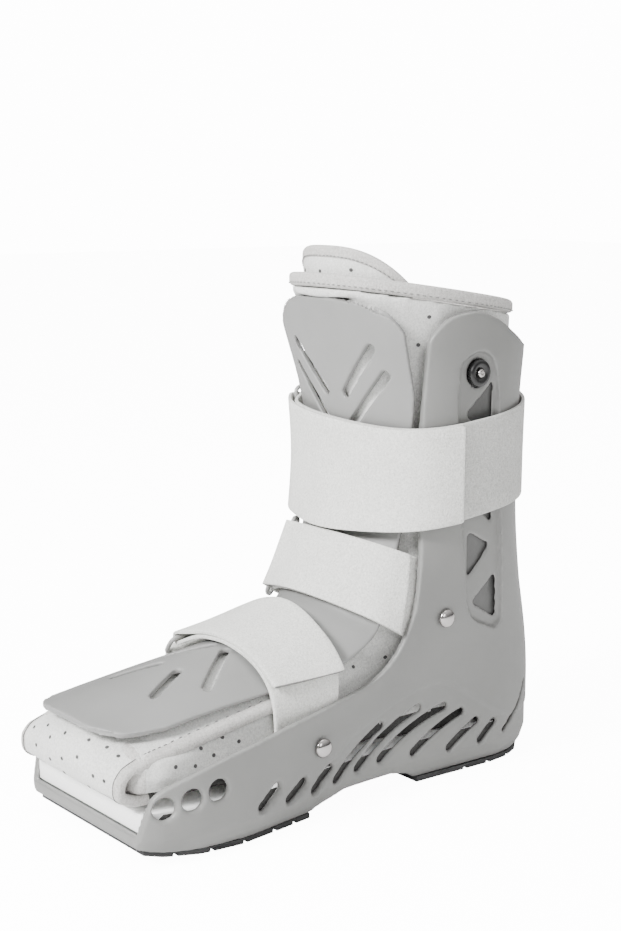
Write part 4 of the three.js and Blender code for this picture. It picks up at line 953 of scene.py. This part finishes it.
# A fine diagonal weave in the object's own space
def weave_group():
    tree = bpy.data.node_groups.new("fine_weave", "ShaderNodeTree")
    start, end = group_sockets(
        tree,
        [("Vector", "NodeSocketVector", None), ("Thread Scale", "NodeSocketFloat", 420.0)],
        [("Height", "NodeSocketFloat")],
    )
    heights = []
    for direction in ("X", "Y", "Z"):
        wave = tree.nodes.new("ShaderNodeTexWave")
        wave.wave_type = "BANDS"
        wave.bands_direction = direction
        wave.inputs["Distortion"].default_value = 0.6
        wave.inputs["Detail"].default_value = 1.0
        tree.links.new(start.outputs["Vector"], wave.inputs["Vector"])
        tree.links.new(start.outputs["Thread Scale"], wave.inputs["Scale"])
        heights.append(wave.outputs["Fac"])
    total = math_node(tree, "ADD", math_node(tree, "ADD", heights[0], heights[1]), heights[2])
    tree.links.new(math_node(tree, "MULTIPLY", total, 0.34), end.inputs["Height"])
    return tree


GRAIN, EDGE_PAINT, PILE, WEAVE = grain_group(), edge_light_and_shade_group(), pile_group(), weave_group()


def new_material(name):
    material = bpy.data.materials.new(name)
    material.use_nodes = True
    tree = material.node_tree
    surface = tree.nodes["Principled BSDF"]
    place = tree.nodes.new("ShaderNodeTexCoord").outputs["Object"]
    return material, tree, surface, place


def use_group(tree, group, place, **values):
    node = tree.nodes.new("ShaderNodeGroup")
    node.node_tree = group
    tree.links.new(place, node.inputs["Vector"])
    for name, value in values.items():
        node.inputs[name.replace("_", " ")].default_value = value
    return node


def blend_colours(tree, factor, first, second):
    node = tree.nodes.new("ShaderNodeMix")
    node.data_type = "RGBA"
    tree.links.new(factor, node.inputs["Factor"])
    for socket, value in ((node.inputs[6], first), (node.inputs[7], second)):
        if isinstance(value, tuple):
            socket.default_value = (*value, 1)
        else:
            tree.links.new(value, socket)
    return node.outputs[2]


def add_bump(tree, surface, layers):
    normal = None
    for height_socket, strength, distance in layers:
        bump = tree.nodes.new("ShaderNodeBump")
        bump.inputs["Strength"].default_value = strength
        bump.inputs["Distance"].default_value = distance * MM
        tree.links.new(height_socket, bump.inputs["Height"])
        if normal is not None:
            tree.links.new(normal, bump.inputs["Normal"])
        normal = bump.outputs["Normal"]
    tree.links.new(normal, surface.inputs["Normal"])


# How much darker a moulding's hollows are painted, as painted shade
HOLLOW_SHADE = 0.55
EDGE_HIGHLIGHT = (0.8, 0.8, 0.79)


# Sharp edges are lightened towards the edge colour as a painted highlight, and hollows are darkened as
# painted shade
def moulded(name, dark, light, rough, grain=0.12, edge_paint=0.4, edge=EDGE_HIGHLIGHT, grain_scale=1000.0, coat=0.0):
    material, tree, surface, place = new_material(name)
    grains = use_group(tree, GRAIN, place, Grain_Scale=grain_scale, Cloud_Scale=16.0)
    edge_paint_node = use_group(tree, EDGE_PAINT, place, Amount=edge_paint)
    cloud = grains.outputs["Cloud"]
    base = blend_colours(tree, ramp(tree, cloud, 0.35, 0.65, 0.0, 1.0), dark, light)
    highlighted = blend_colours(tree, edge_paint_node.outputs["Edge"], base, edge)
    shaded = tuple(value * HOLLOW_SHADE for value in dark)
    tree.links.new(blend_colours(tree, edge_paint_node.outputs["Hollow"], highlighted, shaded), surface.inputs["Base Color"])
    tree.links.new(ramp(tree, cloud, 0.3, 0.7, rough - 0.05, rough + 0.06), surface.inputs["Roughness"])
    add_bump(tree, surface, [(cloud, 0.25, 0.25), (grains.outputs["Grain"], grain, 0.05)])
    surface.inputs["Coat Weight"].default_value = coat
    surface.inputs["Coat Roughness"].default_value = 0.3
    return material


def fabric(name, dark, light, loop_scale, loops, sheen, slow=0.25, weave=0.0, thread=420.0):
    material, tree, surface, place = new_material(name)
    pile = use_group(tree, PILE, place, Loop_Scale=loop_scale)
    clouds = use_group(tree, GRAIN, place, Grain_Scale=420.0, Cloud_Scale=45.0)
    speckle = ramp(tree, pile.outputs["Speckle"], 0.35, 0.65, 0.0, 1.0)
    clouded = ramp(tree, clouds.outputs["Cloud"], 0.35, 0.65, 0.0, 1.0)
    shade = math_node(
        tree, "ADD", math_node(tree, "MULTIPLY", speckle, 0.75), math_node(tree, "MULTIPLY", clouded, slow)
    )
    tree.links.new(blend_colours(tree, shade, dark, light), surface.inputs["Base Color"])
    tree.links.new(ramp(tree, pile.outputs["Speckle"], 0.3, 0.7, 0.95, 0.82), surface.inputs["Roughness"])
    layers = [(clouds.outputs["Cloud"], 0.3, 0.6), (pile.outputs["Height"], loops, 0.3)]
    if weave:
        threads = use_group(tree, WEAVE, place, Thread_Scale=thread)
        layers.append((threads.outputs["Height"], weave, 0.3))
    add_bump(tree, surface, layers)
    surface.inputs["Sheen Weight"].default_value = sheen
    surface.inputs["Sheen Roughness"].default_value = 0.5
    surface.inputs["Specular IOR Level"].default_value = 0.25
    return material


def polished_steel():
    material, tree, surface, place = new_material("polished_steel")
    grains = use_group(tree, GRAIN, place, Grain_Scale=1500.0, Cloud_Scale=120.0)
    cloud = grains.outputs["Cloud"]
    base = blend_colours(tree, cloud, (0.36, 0.34, 0.33), (0.55, 0.53, 0.52))
    tree.links.new(base, surface.inputs["Base Color"])
    tree.links.new(ramp(tree, cloud, 0.3, 0.7, 0.08, 0.2), surface.inputs["Roughness"])
    surface.inputs["Metallic"].default_value = 1
    add_bump(tree, surface, [(grains.outputs["Grain"], 0.06, 0.03)])
    return material


# The edge colours below are painted highlights on the sharp edges
SHELL_GREY = moulded(
    "satin_grey_shell", dark=(0.18, 0.18, 0.174), light=(0.21, 0.21, 0.203), rough=0.4,
    edge_paint=0.5, edge=(0.5, 0.5, 0.49),
)
PLATE_GREY = moulded(
    "satin_grey_plate", dark=(0.20, 0.20, 0.195), light=(0.235, 0.235, 0.23), rough=0.44,
    grain=0.18, edge=(0.5, 0.5, 0.49),
)
TREAD_RUBBER = moulded(
    "tread_rubber", dark=(0.02, 0.02, 0.021), light=(0.035, 0.035, 0.036), rough=0.75,
    grain=0.5, edge=(0.1, 0.1, 0.1), grain_scale=500.0,
)
VALVE_BLACK = moulded(
    "valve_black", dark=(0.004, 0.004, 0.004), light=(0.008, 0.008, 0.008), rough=0.25,
    grain=0.05, edge_paint=0.3, edge=(0.03, 0.03, 0.03), grain_scale=900.0, coat=0.2,
)
CELL_FILM = moulded(
    "air_cell_film", dark=(0.07, 0.07, 0.068), light=(0.11, 0.11, 0.107), rough=0.4,
    grain=0.1, edge_paint=0.3, edge=(0.2, 0.2, 0.2),
)
RING_PLASTIC = moulded(
    "ring_plastic", dark=(0.3, 0.3, 0.29), light=(0.36, 0.36, 0.35), rough=0.35, grain=0.06,
)
STEEL = polished_steel()
# dark, light, loop scale, loops, sheen, clouding, weave, thread scale
FABRICS = {
    "strap_under_layer_shade": ((0.36, 0.36, 0.345), (0.68, 0.68, 0.655), 1000.0, 0.6, 0.1, 0.08),
    "painted_shade_lower_cloth": ((0.03, 0.03, 0.029), (0.09, 0.09, 0.087), 1300.0, 0.3, 0.0),
    "strap_loop_pile": ((0.50, 0.50, 0.475), (0.90, 0.90, 0.865), 1000.0, 0.6, 0.15, 0.08),
    "liner_knit": ((0.50, 0.50, 0.485), (0.86, 0.86, 0.835), 1300.0, 0.35, 0.15, 0.12, 0.12, 380.0),
    "binding_tape": ((0.34, 0.33, 0.315), (0.66, 0.65, 0.63), 1500.0, 0.3, 0.1, 0.1, 0.4, 300.0),
    "insole_foam": ((0.90, 0.90, 0.89), (0.98, 0.98, 0.97), 1500.0, 0.2, 0.1),
    "stitch_thread": ((0.14, 0.14, 0.135), (0.24, 0.24, 0.235), 2500.0, 0.3, 0.05),
    "painted_hole_shade": ((0.05, 0.05, 0.048), (0.12, 0.12, 0.118), 2500.0, 0.3, 0.0),
}
STRAP_UNDER_SHADE, PAINTED_SHADE_CLOTH, STRAP_LOOP, LINER_KNIT, TAPE_KNIT, FOAM_WHITE, THREAD_GREY, HOLE_SHADE = (
    fabric(name, *row) for name, row in FABRICS.items()
)


def dress(made, material, slot, *nodes):
    if len(made.data.materials):
        made.data.materials.clear()
    made.data.materials.append(material)
    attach(made, "root")
    if nodes:
        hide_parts(*nodes)
    return made


# Stitches: short round-ended threads laid along a line on a surface
STITCH_SIDES = 6
STITCH_LENGTH, STITCH_THICK, STITCH_LIFT = 1.9, 0.55, 0.08
# share of the length, share of the thickness
STITCH_STATIONS = ((-0.5, 0.25), (-0.38, 0.8), (0.0, 1.0), (0.38, 0.8), (0.5, 0.25))


def stitches(name, place_at, count):
    points, faces = [], []
    for i in range(count):
        middle, ahead, out = place_at((i + 0.5) / count)
        side = np.cross(ahead, out)
        faces += ring_faces(STITCH_SIDES, len(STITCH_STATIONS), base=len(points))
        for share, full in STITCH_STATIONS:
            radius = full * STITCH_THICK / 2
            sink = -0.25 * (1 - full)
            for k in range(STITCH_SIDES):
                angle = k * 2 * math.pi / STITCH_SIDES
                lift = out * (math.sin(angle) * radius + sink)
                points.append(middle + ahead * share * STITCH_LENGTH + side * math.cos(angle) * radius + lift)
    return smooth_faces(piece_from(name, points, faces))


def along_surface(place, v, offset, u_from, u_to):
    def place_at(share):
        u = mix(u_from, u_to, share)
        here = np.asarray(place(u, v, offset))
        ahead = np.asarray(place(u + 1e-3, v, offset)) - np.asarray(place(u - 1e-3, v, offset))
        out = np.asarray(place(u, v, offset + 0.1)) - here
        return here, ahead / np.linalg.norm(ahead), out / np.linalg.norm(out)
    return place_at


dress(make_shell(), SHELL_GREY, "plastic", "shell")
foot_plate, shin_plate = make_plates()
dress(foot_plate, PLATE_GREY, "plastic", "foot_plate")
dress(shin_plate, PLATE_GREY, "plastic", "shin_plate")
dress(make_collar(), TAPE_KNIT, "binding", "collar_binding")
tongue, tongue_tape = make_tongue()
dress(tongue, LINER_KNIT, "padding", "tongue")
dress(tongue_tape, TAPE_KNIT, "binding", "tongue_binding")
flap, flap_near, flap_far = make_toe_flap()
dress(flap, LINER_KNIT, "padding", "toe_flap")
dress(flap_near, TAPE_KNIT, "binding", "toe_flap_binding_near")
dress(flap_far, TAPE_KNIT, "binding", "toe_flap_binding_far")
liner = swollen_toe(soften(copy_of("liner", "liner_padding"), *LINER_SOFTNESS))
dress(liner, LINER_KNIT, "padding", "liner")
liner.data.materials.append(TAPE_KNIT)
for face in liner.data.polygons:
    if face.center.y < -TAPED_FROM * MM:
        face.material_index = 1
# The liner's lower faces in the shell's shade get the darker cloth as painted shade
shade_inside(liner, LINER_SHADE)
for made in (flap, flap_near, flap_far):
    shade_inside(made, TOE_SHADE, sides_only=False)

# Each strap's flat width and length in metres, the ring it is folded round, and its cut end: which way
# that faces, how far it lifts off the layer below in millimetres, and beyond which x in metres it lies
CALF_END = ((0, 1, 0), (1.4, 0, 0), 0.045)
FOREFOOT_END = ((0.51, 0, -0.86), (1.2, 0, 0.7), 0.025)
STRAPS = {
    "calf_strap": ((0.056, 0.525), "calf_ring", CALF_END),
    "ankle_strap": ((0.044, 0.207), "ankle_ring", None),
    "forefoot_strap": ((0.041, 0.243), "forefoot_ring", FOREFOOT_END),
    "ankle_anchor": ((0.044, 0.054), "ankle_ring", None),
    "forefoot_anchor": ((0.041, 0.060), "forefoot_ring", None),
}
# Where the calf strap's under layer comes out from below its outer one: y in metres, on the far side
UNDER_LAYER_FAR = -0.021
CUT_MARGIN = 0.3 * MM


# The calf strap's under layer shows behind the cut end of the outer one, and is painted a little darker as
# painted shade
def shade_under_layer(webbing):
    webbing.data.materials.append(STRAP_UNDER_SHADE)
    cut_at = max((face.center.y for face in webbing.data.polygons if face.material_index == 1), default=0.0)
    for face in webbing.data.polygons:
        under_from = cut_at + CUT_MARGIN if face.center.x > 0 else UNDER_LAYER_FAR
        if face.center.y > under_from and face.material_index == 0:
            face.material_index = 2


for node, (flat, ring, end) in STRAPS.items():
    webbing = dress(make_webbing(node, node + "_webbing", end), STRAP_LOOP, "strap", node)
    # The cut end faces get the dark thread grey, as painted shade under the lifted end
    webbing.data.materials.append(THREAD_GREY)
    if node == "calf_strap":
        shade_under_layer(webbing)
for node in ("calf_ring", "ankle_ring", "forefoot_ring"):
    dress(make_webbing(node, node + "_loop"), RING_PLASTIC, "ring", node)
for node in ("forefoot_tread", "heel_tread"):
    dress(bevelled(copy_of(node, node + "_rubber"), *TREAD_BEVEL), TREAD_RUBBER, "rubber", node)
insole = bevelled(copy_of("insole_pad", "insole_slab"), *INSOLE_BEVEL)
shade_inside(dress(insole, FOAM_WHITE, "foam", "insole_pad"), TOE_SHADE)
for side in ("near", "far"):
    cell = soften(copy_of("air_cell_" + side, "air_cell_film_" + side), *CELL_SOFTNESS)
    dress(cell, CELL_FILM, "air_cell", "air_cell_" + side)
for rivet, place in RIVETS.items():
    for side, sign in (("near", 1), ("far", -1)):
        node = f"{rivet}_rivet_{side}"
        dress(make_rivet(node + "_head", sign, place), STEEL, "steel", node)

# The valve: radius and height over the channel's bed
pin, disc = VALVE_PIN_DIAMETER / 2, VALVE_DIAMETER / 2
back = CHANNEL_DEPTH - WALL + GAP
valve_profile = [
    (0, back), (disc, back), (disc, VALVE_PROUD * 0.7), (disc - 1, VALVE_PROUD), (pin + 2, VALVE_PROUD),
    (pin + GAP, VALVE_PROUD - 1), (pin + GAP, VALVE_PROUD - 1.2), (0, VALVE_PROUD - 1.2),
]
dress(turned("valve_disc", valve_profile, 1, VALVE, CHANNEL_DEPTH), VALVE_BLACK, "valve", "valve_body")
# share of the pin's radius, height over the disc's face
PIN_TURNING = [(0, -1.1), (1, -1.1), (1, 0.2), (0.75, 0.8), (0.35, 0.9), (0.3, 0.3), (0, 0.3)]
pin_profile = [(pin * share, VALVE_PROUD + up) for share, up in PIN_TURNING]
dress(turned("valve_pin_head", pin_profile, 1, VALVE, CHANNEL_DEPTH, sides=24), STEEL, "steel", "valve_pin")

# Lines of stitches beside the tapes: surface, place across it, stretch of it, number of stitches
EDGE_IN = 1 - FLAP_BINDING_SHARE * 0.82
STITCH_LINES = {
    "collar_stitches": (collar_place, 0.2, (0.0, 1.0), 110),
    "tongue_stitches": (tongue_tape_place, 0.2, (0.02, 0.98), 42),
    "toe_flap_stitches_near": (flap_point, EDGE_IN, (0.02, 0.98), 50),
    "toe_flap_stitches_far": (flap_point, -EDGE_IN, (0.02, 0.98), 50),
}
for name, (surface, across, stretch, count) in STITCH_LINES.items():
    line = along_surface(surface, across, BINDING_PROUD + STITCH_LIFT, *stretch)
    dress(stitches(name, line, count), THREAD_GREY, "binding")

# Perforations: small punched holes, each a shallow dish on the cloth whose dark bottom is painted shade for
# the hole's depth
HOLE_SIDES = 14
HOLE_LENGTHEN = 1.15
# share of the radius, height above the cloth
HOLE_RINGS = ((1.0, 0.16), (0.8, 0.08), (0.0, 0.05))


def punched(name, spots, radius):
    points, faces = [], []
    for middle, ahead, out in spots:
        side = np.cross(ahead, out)
        faces += ring_faces(HOLE_SIDES, len(HOLE_RINGS), base=len(points), first_end=False)
        for share, lift in HOLE_RINGS:
            reach = max(share * radius, 0.01)
            for k in range(HOLE_SIDES):
                angle = k * 2 * math.pi / HOLE_SIDES
                outline = ahead * math.cos(angle) * HOLE_LENGTHEN + side * math.sin(angle)
                points.append(middle + outline * reach + out * lift)
    return piece_from(name, points, faces)


# A line that meets the cloth more flatly than this makes no hole
GRAZING = -0.15


# Casts lines onto a piece: each gives a place, a direction along the surface and the normal there
def cast_onto(made, lines):
    tree = BVHTree.FromObject(made, bpy.context.evaluated_depsgraph_get())
    spots = []
    for start, towards in lines:
        hit, normal, _, _ = tree.ray_cast(Vector(start) * MM, Vector(towards))
        if hit is None or normal.dot(Vector(towards)) > GRAZING:
            continue
        out = np.asarray(normal)
        ahead = np.cross(out, (0.1, 0, 1.0))
        spots.append((np.asarray(hit) / MM, ahead / np.linalg.norm(ahead), out))
    return spots


# Where the lines start: in front of the toe, in front of the shin, and out from the sides
FROM_TOE, FROM_SHIN, FROM_SIDE = -260, -160, 120
# Places of the holes in millimetres: x, z on the flap's and tongue's front, y, z on the liner's sides
FLAP_HOLES = [
    (-37, 48), (-30, 56), (-23, 52.6), (-14.6, 58.6), (-14.7, 49.4), (-3.3, 54.1), (4.2, 60.7),
    (10.1, 60.3), (15.4, 55.1), (27.5, 54.2), (13.2, 47.2), (27.4, 41.8), (36.1, 41.6), (0, 43), (-28, 42),
    (-13, 39), (36, 52), (-2, 35), (20, 34),
]
TONGUE_HOLES = [(-2.2, 271.4), (19, 272.7), (-20, 271)]
LINER_HOLES = [
    (-160, 50), (-177, 45.5), (-165, 43), (-153, 45.3), (-146.6, 52.4), (-131, 57), (-137.6, 48.8),
    (-114.6, 49), (-58.3, 69.8), (-37.2, 71.5), (-19.4, 249.3), (-22.5, 234.9), (-38.8, 248.9), (2, 256),
    (26, 252),
]
flap_lines = [((x, FROM_TOE, z), (0, 1, 0)) for x, z in FLAP_HOLES]
tongue_lines = [((x, FROM_SHIN, z), (0, 1, 0)) for x, z in TONGUE_HOLES]
liner_lines = [((side * FROM_SIDE, y, z), (-side, 0, 0)) for y, z in LINER_HOLES for side in (1, -1)]
for name, made, lines, radius in (
    ("toe_flap_holes", flap, flap_lines, 0.95), ("tongue_holes", tongue, tongue_lines, 1.0),
    ("liner_holes", liner, liner_lines, 1.0),
):
    dress(punched(name, cast_onto(made, lines), radius), HOLE_SHADE, "padding")

# Floor, lights and camera. The camera sees a white room, and the light comes mostly from above.
ROOM_WHITE = 14.0
FLOOR_GLOW = 12.0
FLOOR_HALF = 6
ROOM_LOW, ROOM_HIGH = 0.08, 1.2
floor_mesh = bpy.data.meshes.new("studio_floor")
corners = [(-FLOOR_HALF, -FLOOR_HALF, 0), (FLOOR_HALF, -FLOOR_HALF, 0)]
corners += [(FLOOR_HALF, FLOOR_HALF, 0), (-FLOOR_HALF, FLOOR_HALF, 0)]
floor_mesh.from_pydata(corners, [], [(0, 1, 2, 3)])
floor = placed("studio_floor", floor_mesh)
floor_material, floor_tree, floor_surface, floor_place = new_material("pale_floor")
floor_cloud = noise_node(floor_tree, floor_place, 3.0).outputs["Fac"]
floor_colour = blend_colours(floor_tree, floor_cloud, (0.93, 0.93, 0.93), (0.96, 0.96, 0.96))
floor_tree.links.new(floor_colour, floor_surface.inputs["Base Color"])
floor_surface.inputs["Roughness"].default_value = 0.9
floor_seen = floor_tree.nodes.new("ShaderNodeLightPath").outputs["Is Camera Ray"]
floor_glow = math_node(floor_tree, "MULTIPLY", floor_seen, FLOOR_GLOW)
floor_surface.inputs["Emission Color"].default_value = (1, 1, 1, 1)
floor_tree.links.new(floor_glow, floor_surface.inputs["Emission Strength"])
floor.data.materials.append(floor_material)

world = bpy.data.worlds.new("studio")
world.use_nodes = True
room = world.node_tree
direction = room.nodes.new("ShaderNodeSeparateXYZ")
room.links.new(room.nodes.new("ShaderNodeTexCoord").outputs["Generated"], direction.inputs[0])
overhead = ramp(room, direction.outputs["Z"], 0.0, 0.7, ROOM_LOW, ROOM_HIGH)
seen = room.nodes.new("ShaderNodeLightPath").outputs["Is Camera Ray"]
strength = math_node(room, "ADD", math_node(room, "MULTIPLY", seen, ROOM_WHITE), overhead)
room.nodes["Background"].inputs["Color"].default_value = (1, 1, 1, 1)
room.links.new(strength, room.nodes["Background"].inputs["Strength"])
bpy.context.scene.world = world


def softbox(name, place, aim, size, watts):
    light = bpy.data.lights.new(name, "AREA")
    light.shape = "DISK"
    light.size = size
    light.energy = watts
    made = placed(name, light)
    made.location = place
    made.rotation_mode = "QUATERNION"
    made.rotation_quaternion = (Vector(aim) - Vector(place)).to_track_quat("-Z", "Y")


# place and aim in metres, width in metres, watts
SOFTBOXES = {
    "key_light": ((0.1, -1.7, 1.25), (0, -0.05, 0.12), 0.6, 88),
    "side_light": ((1.6, -0.6, 0.9), (0, 0, 0.12), 0.8, 8),
    "top_light": ((0.0, 0.1, 1.8), (0, -0.05, 0.0), 1.2, 10),
}
for name, row in SOFTBOXES.items():
    softbox(name, *row)

# The camera as worked out from the boot's own edges: degrees, pixels and millimetres
AZIMUTH, PITCH = 52.574, 9.5334
FOCAL_PIXELS, LONG_SIDE, SENSOR = 1700.0, 931.0, 36.0
CAMERA_PLACE = (695.518, -591.479, 317.766)
camera_data = bpy.data.cameras.new("camera")
camera_data.sensor_fit = "AUTO"
camera_data.sensor_width = SENSOR
camera_data.lens = FOCAL_PIXELS / LONG_SIDE * SENSOR
camera_data.clip_start, camera_data.clip_end = 0.01, 50
camera = placed("camera", camera_data)
turn, pitch = math.radians(AZIMUTH), math.radians(PITCH)
forward = Vector((-math.sin(turn) * math.cos(pitch), math.cos(turn) * math.cos(pitch), -math.sin(pitch)))
camera.location = Vector(CAMERA_PLACE) * MM
camera.rotation_mode = "QUATERNION"
camera.rotation_quaternion = forward.to_track_quat("-Z", "Y")
bpy.context.scene.camera = camera
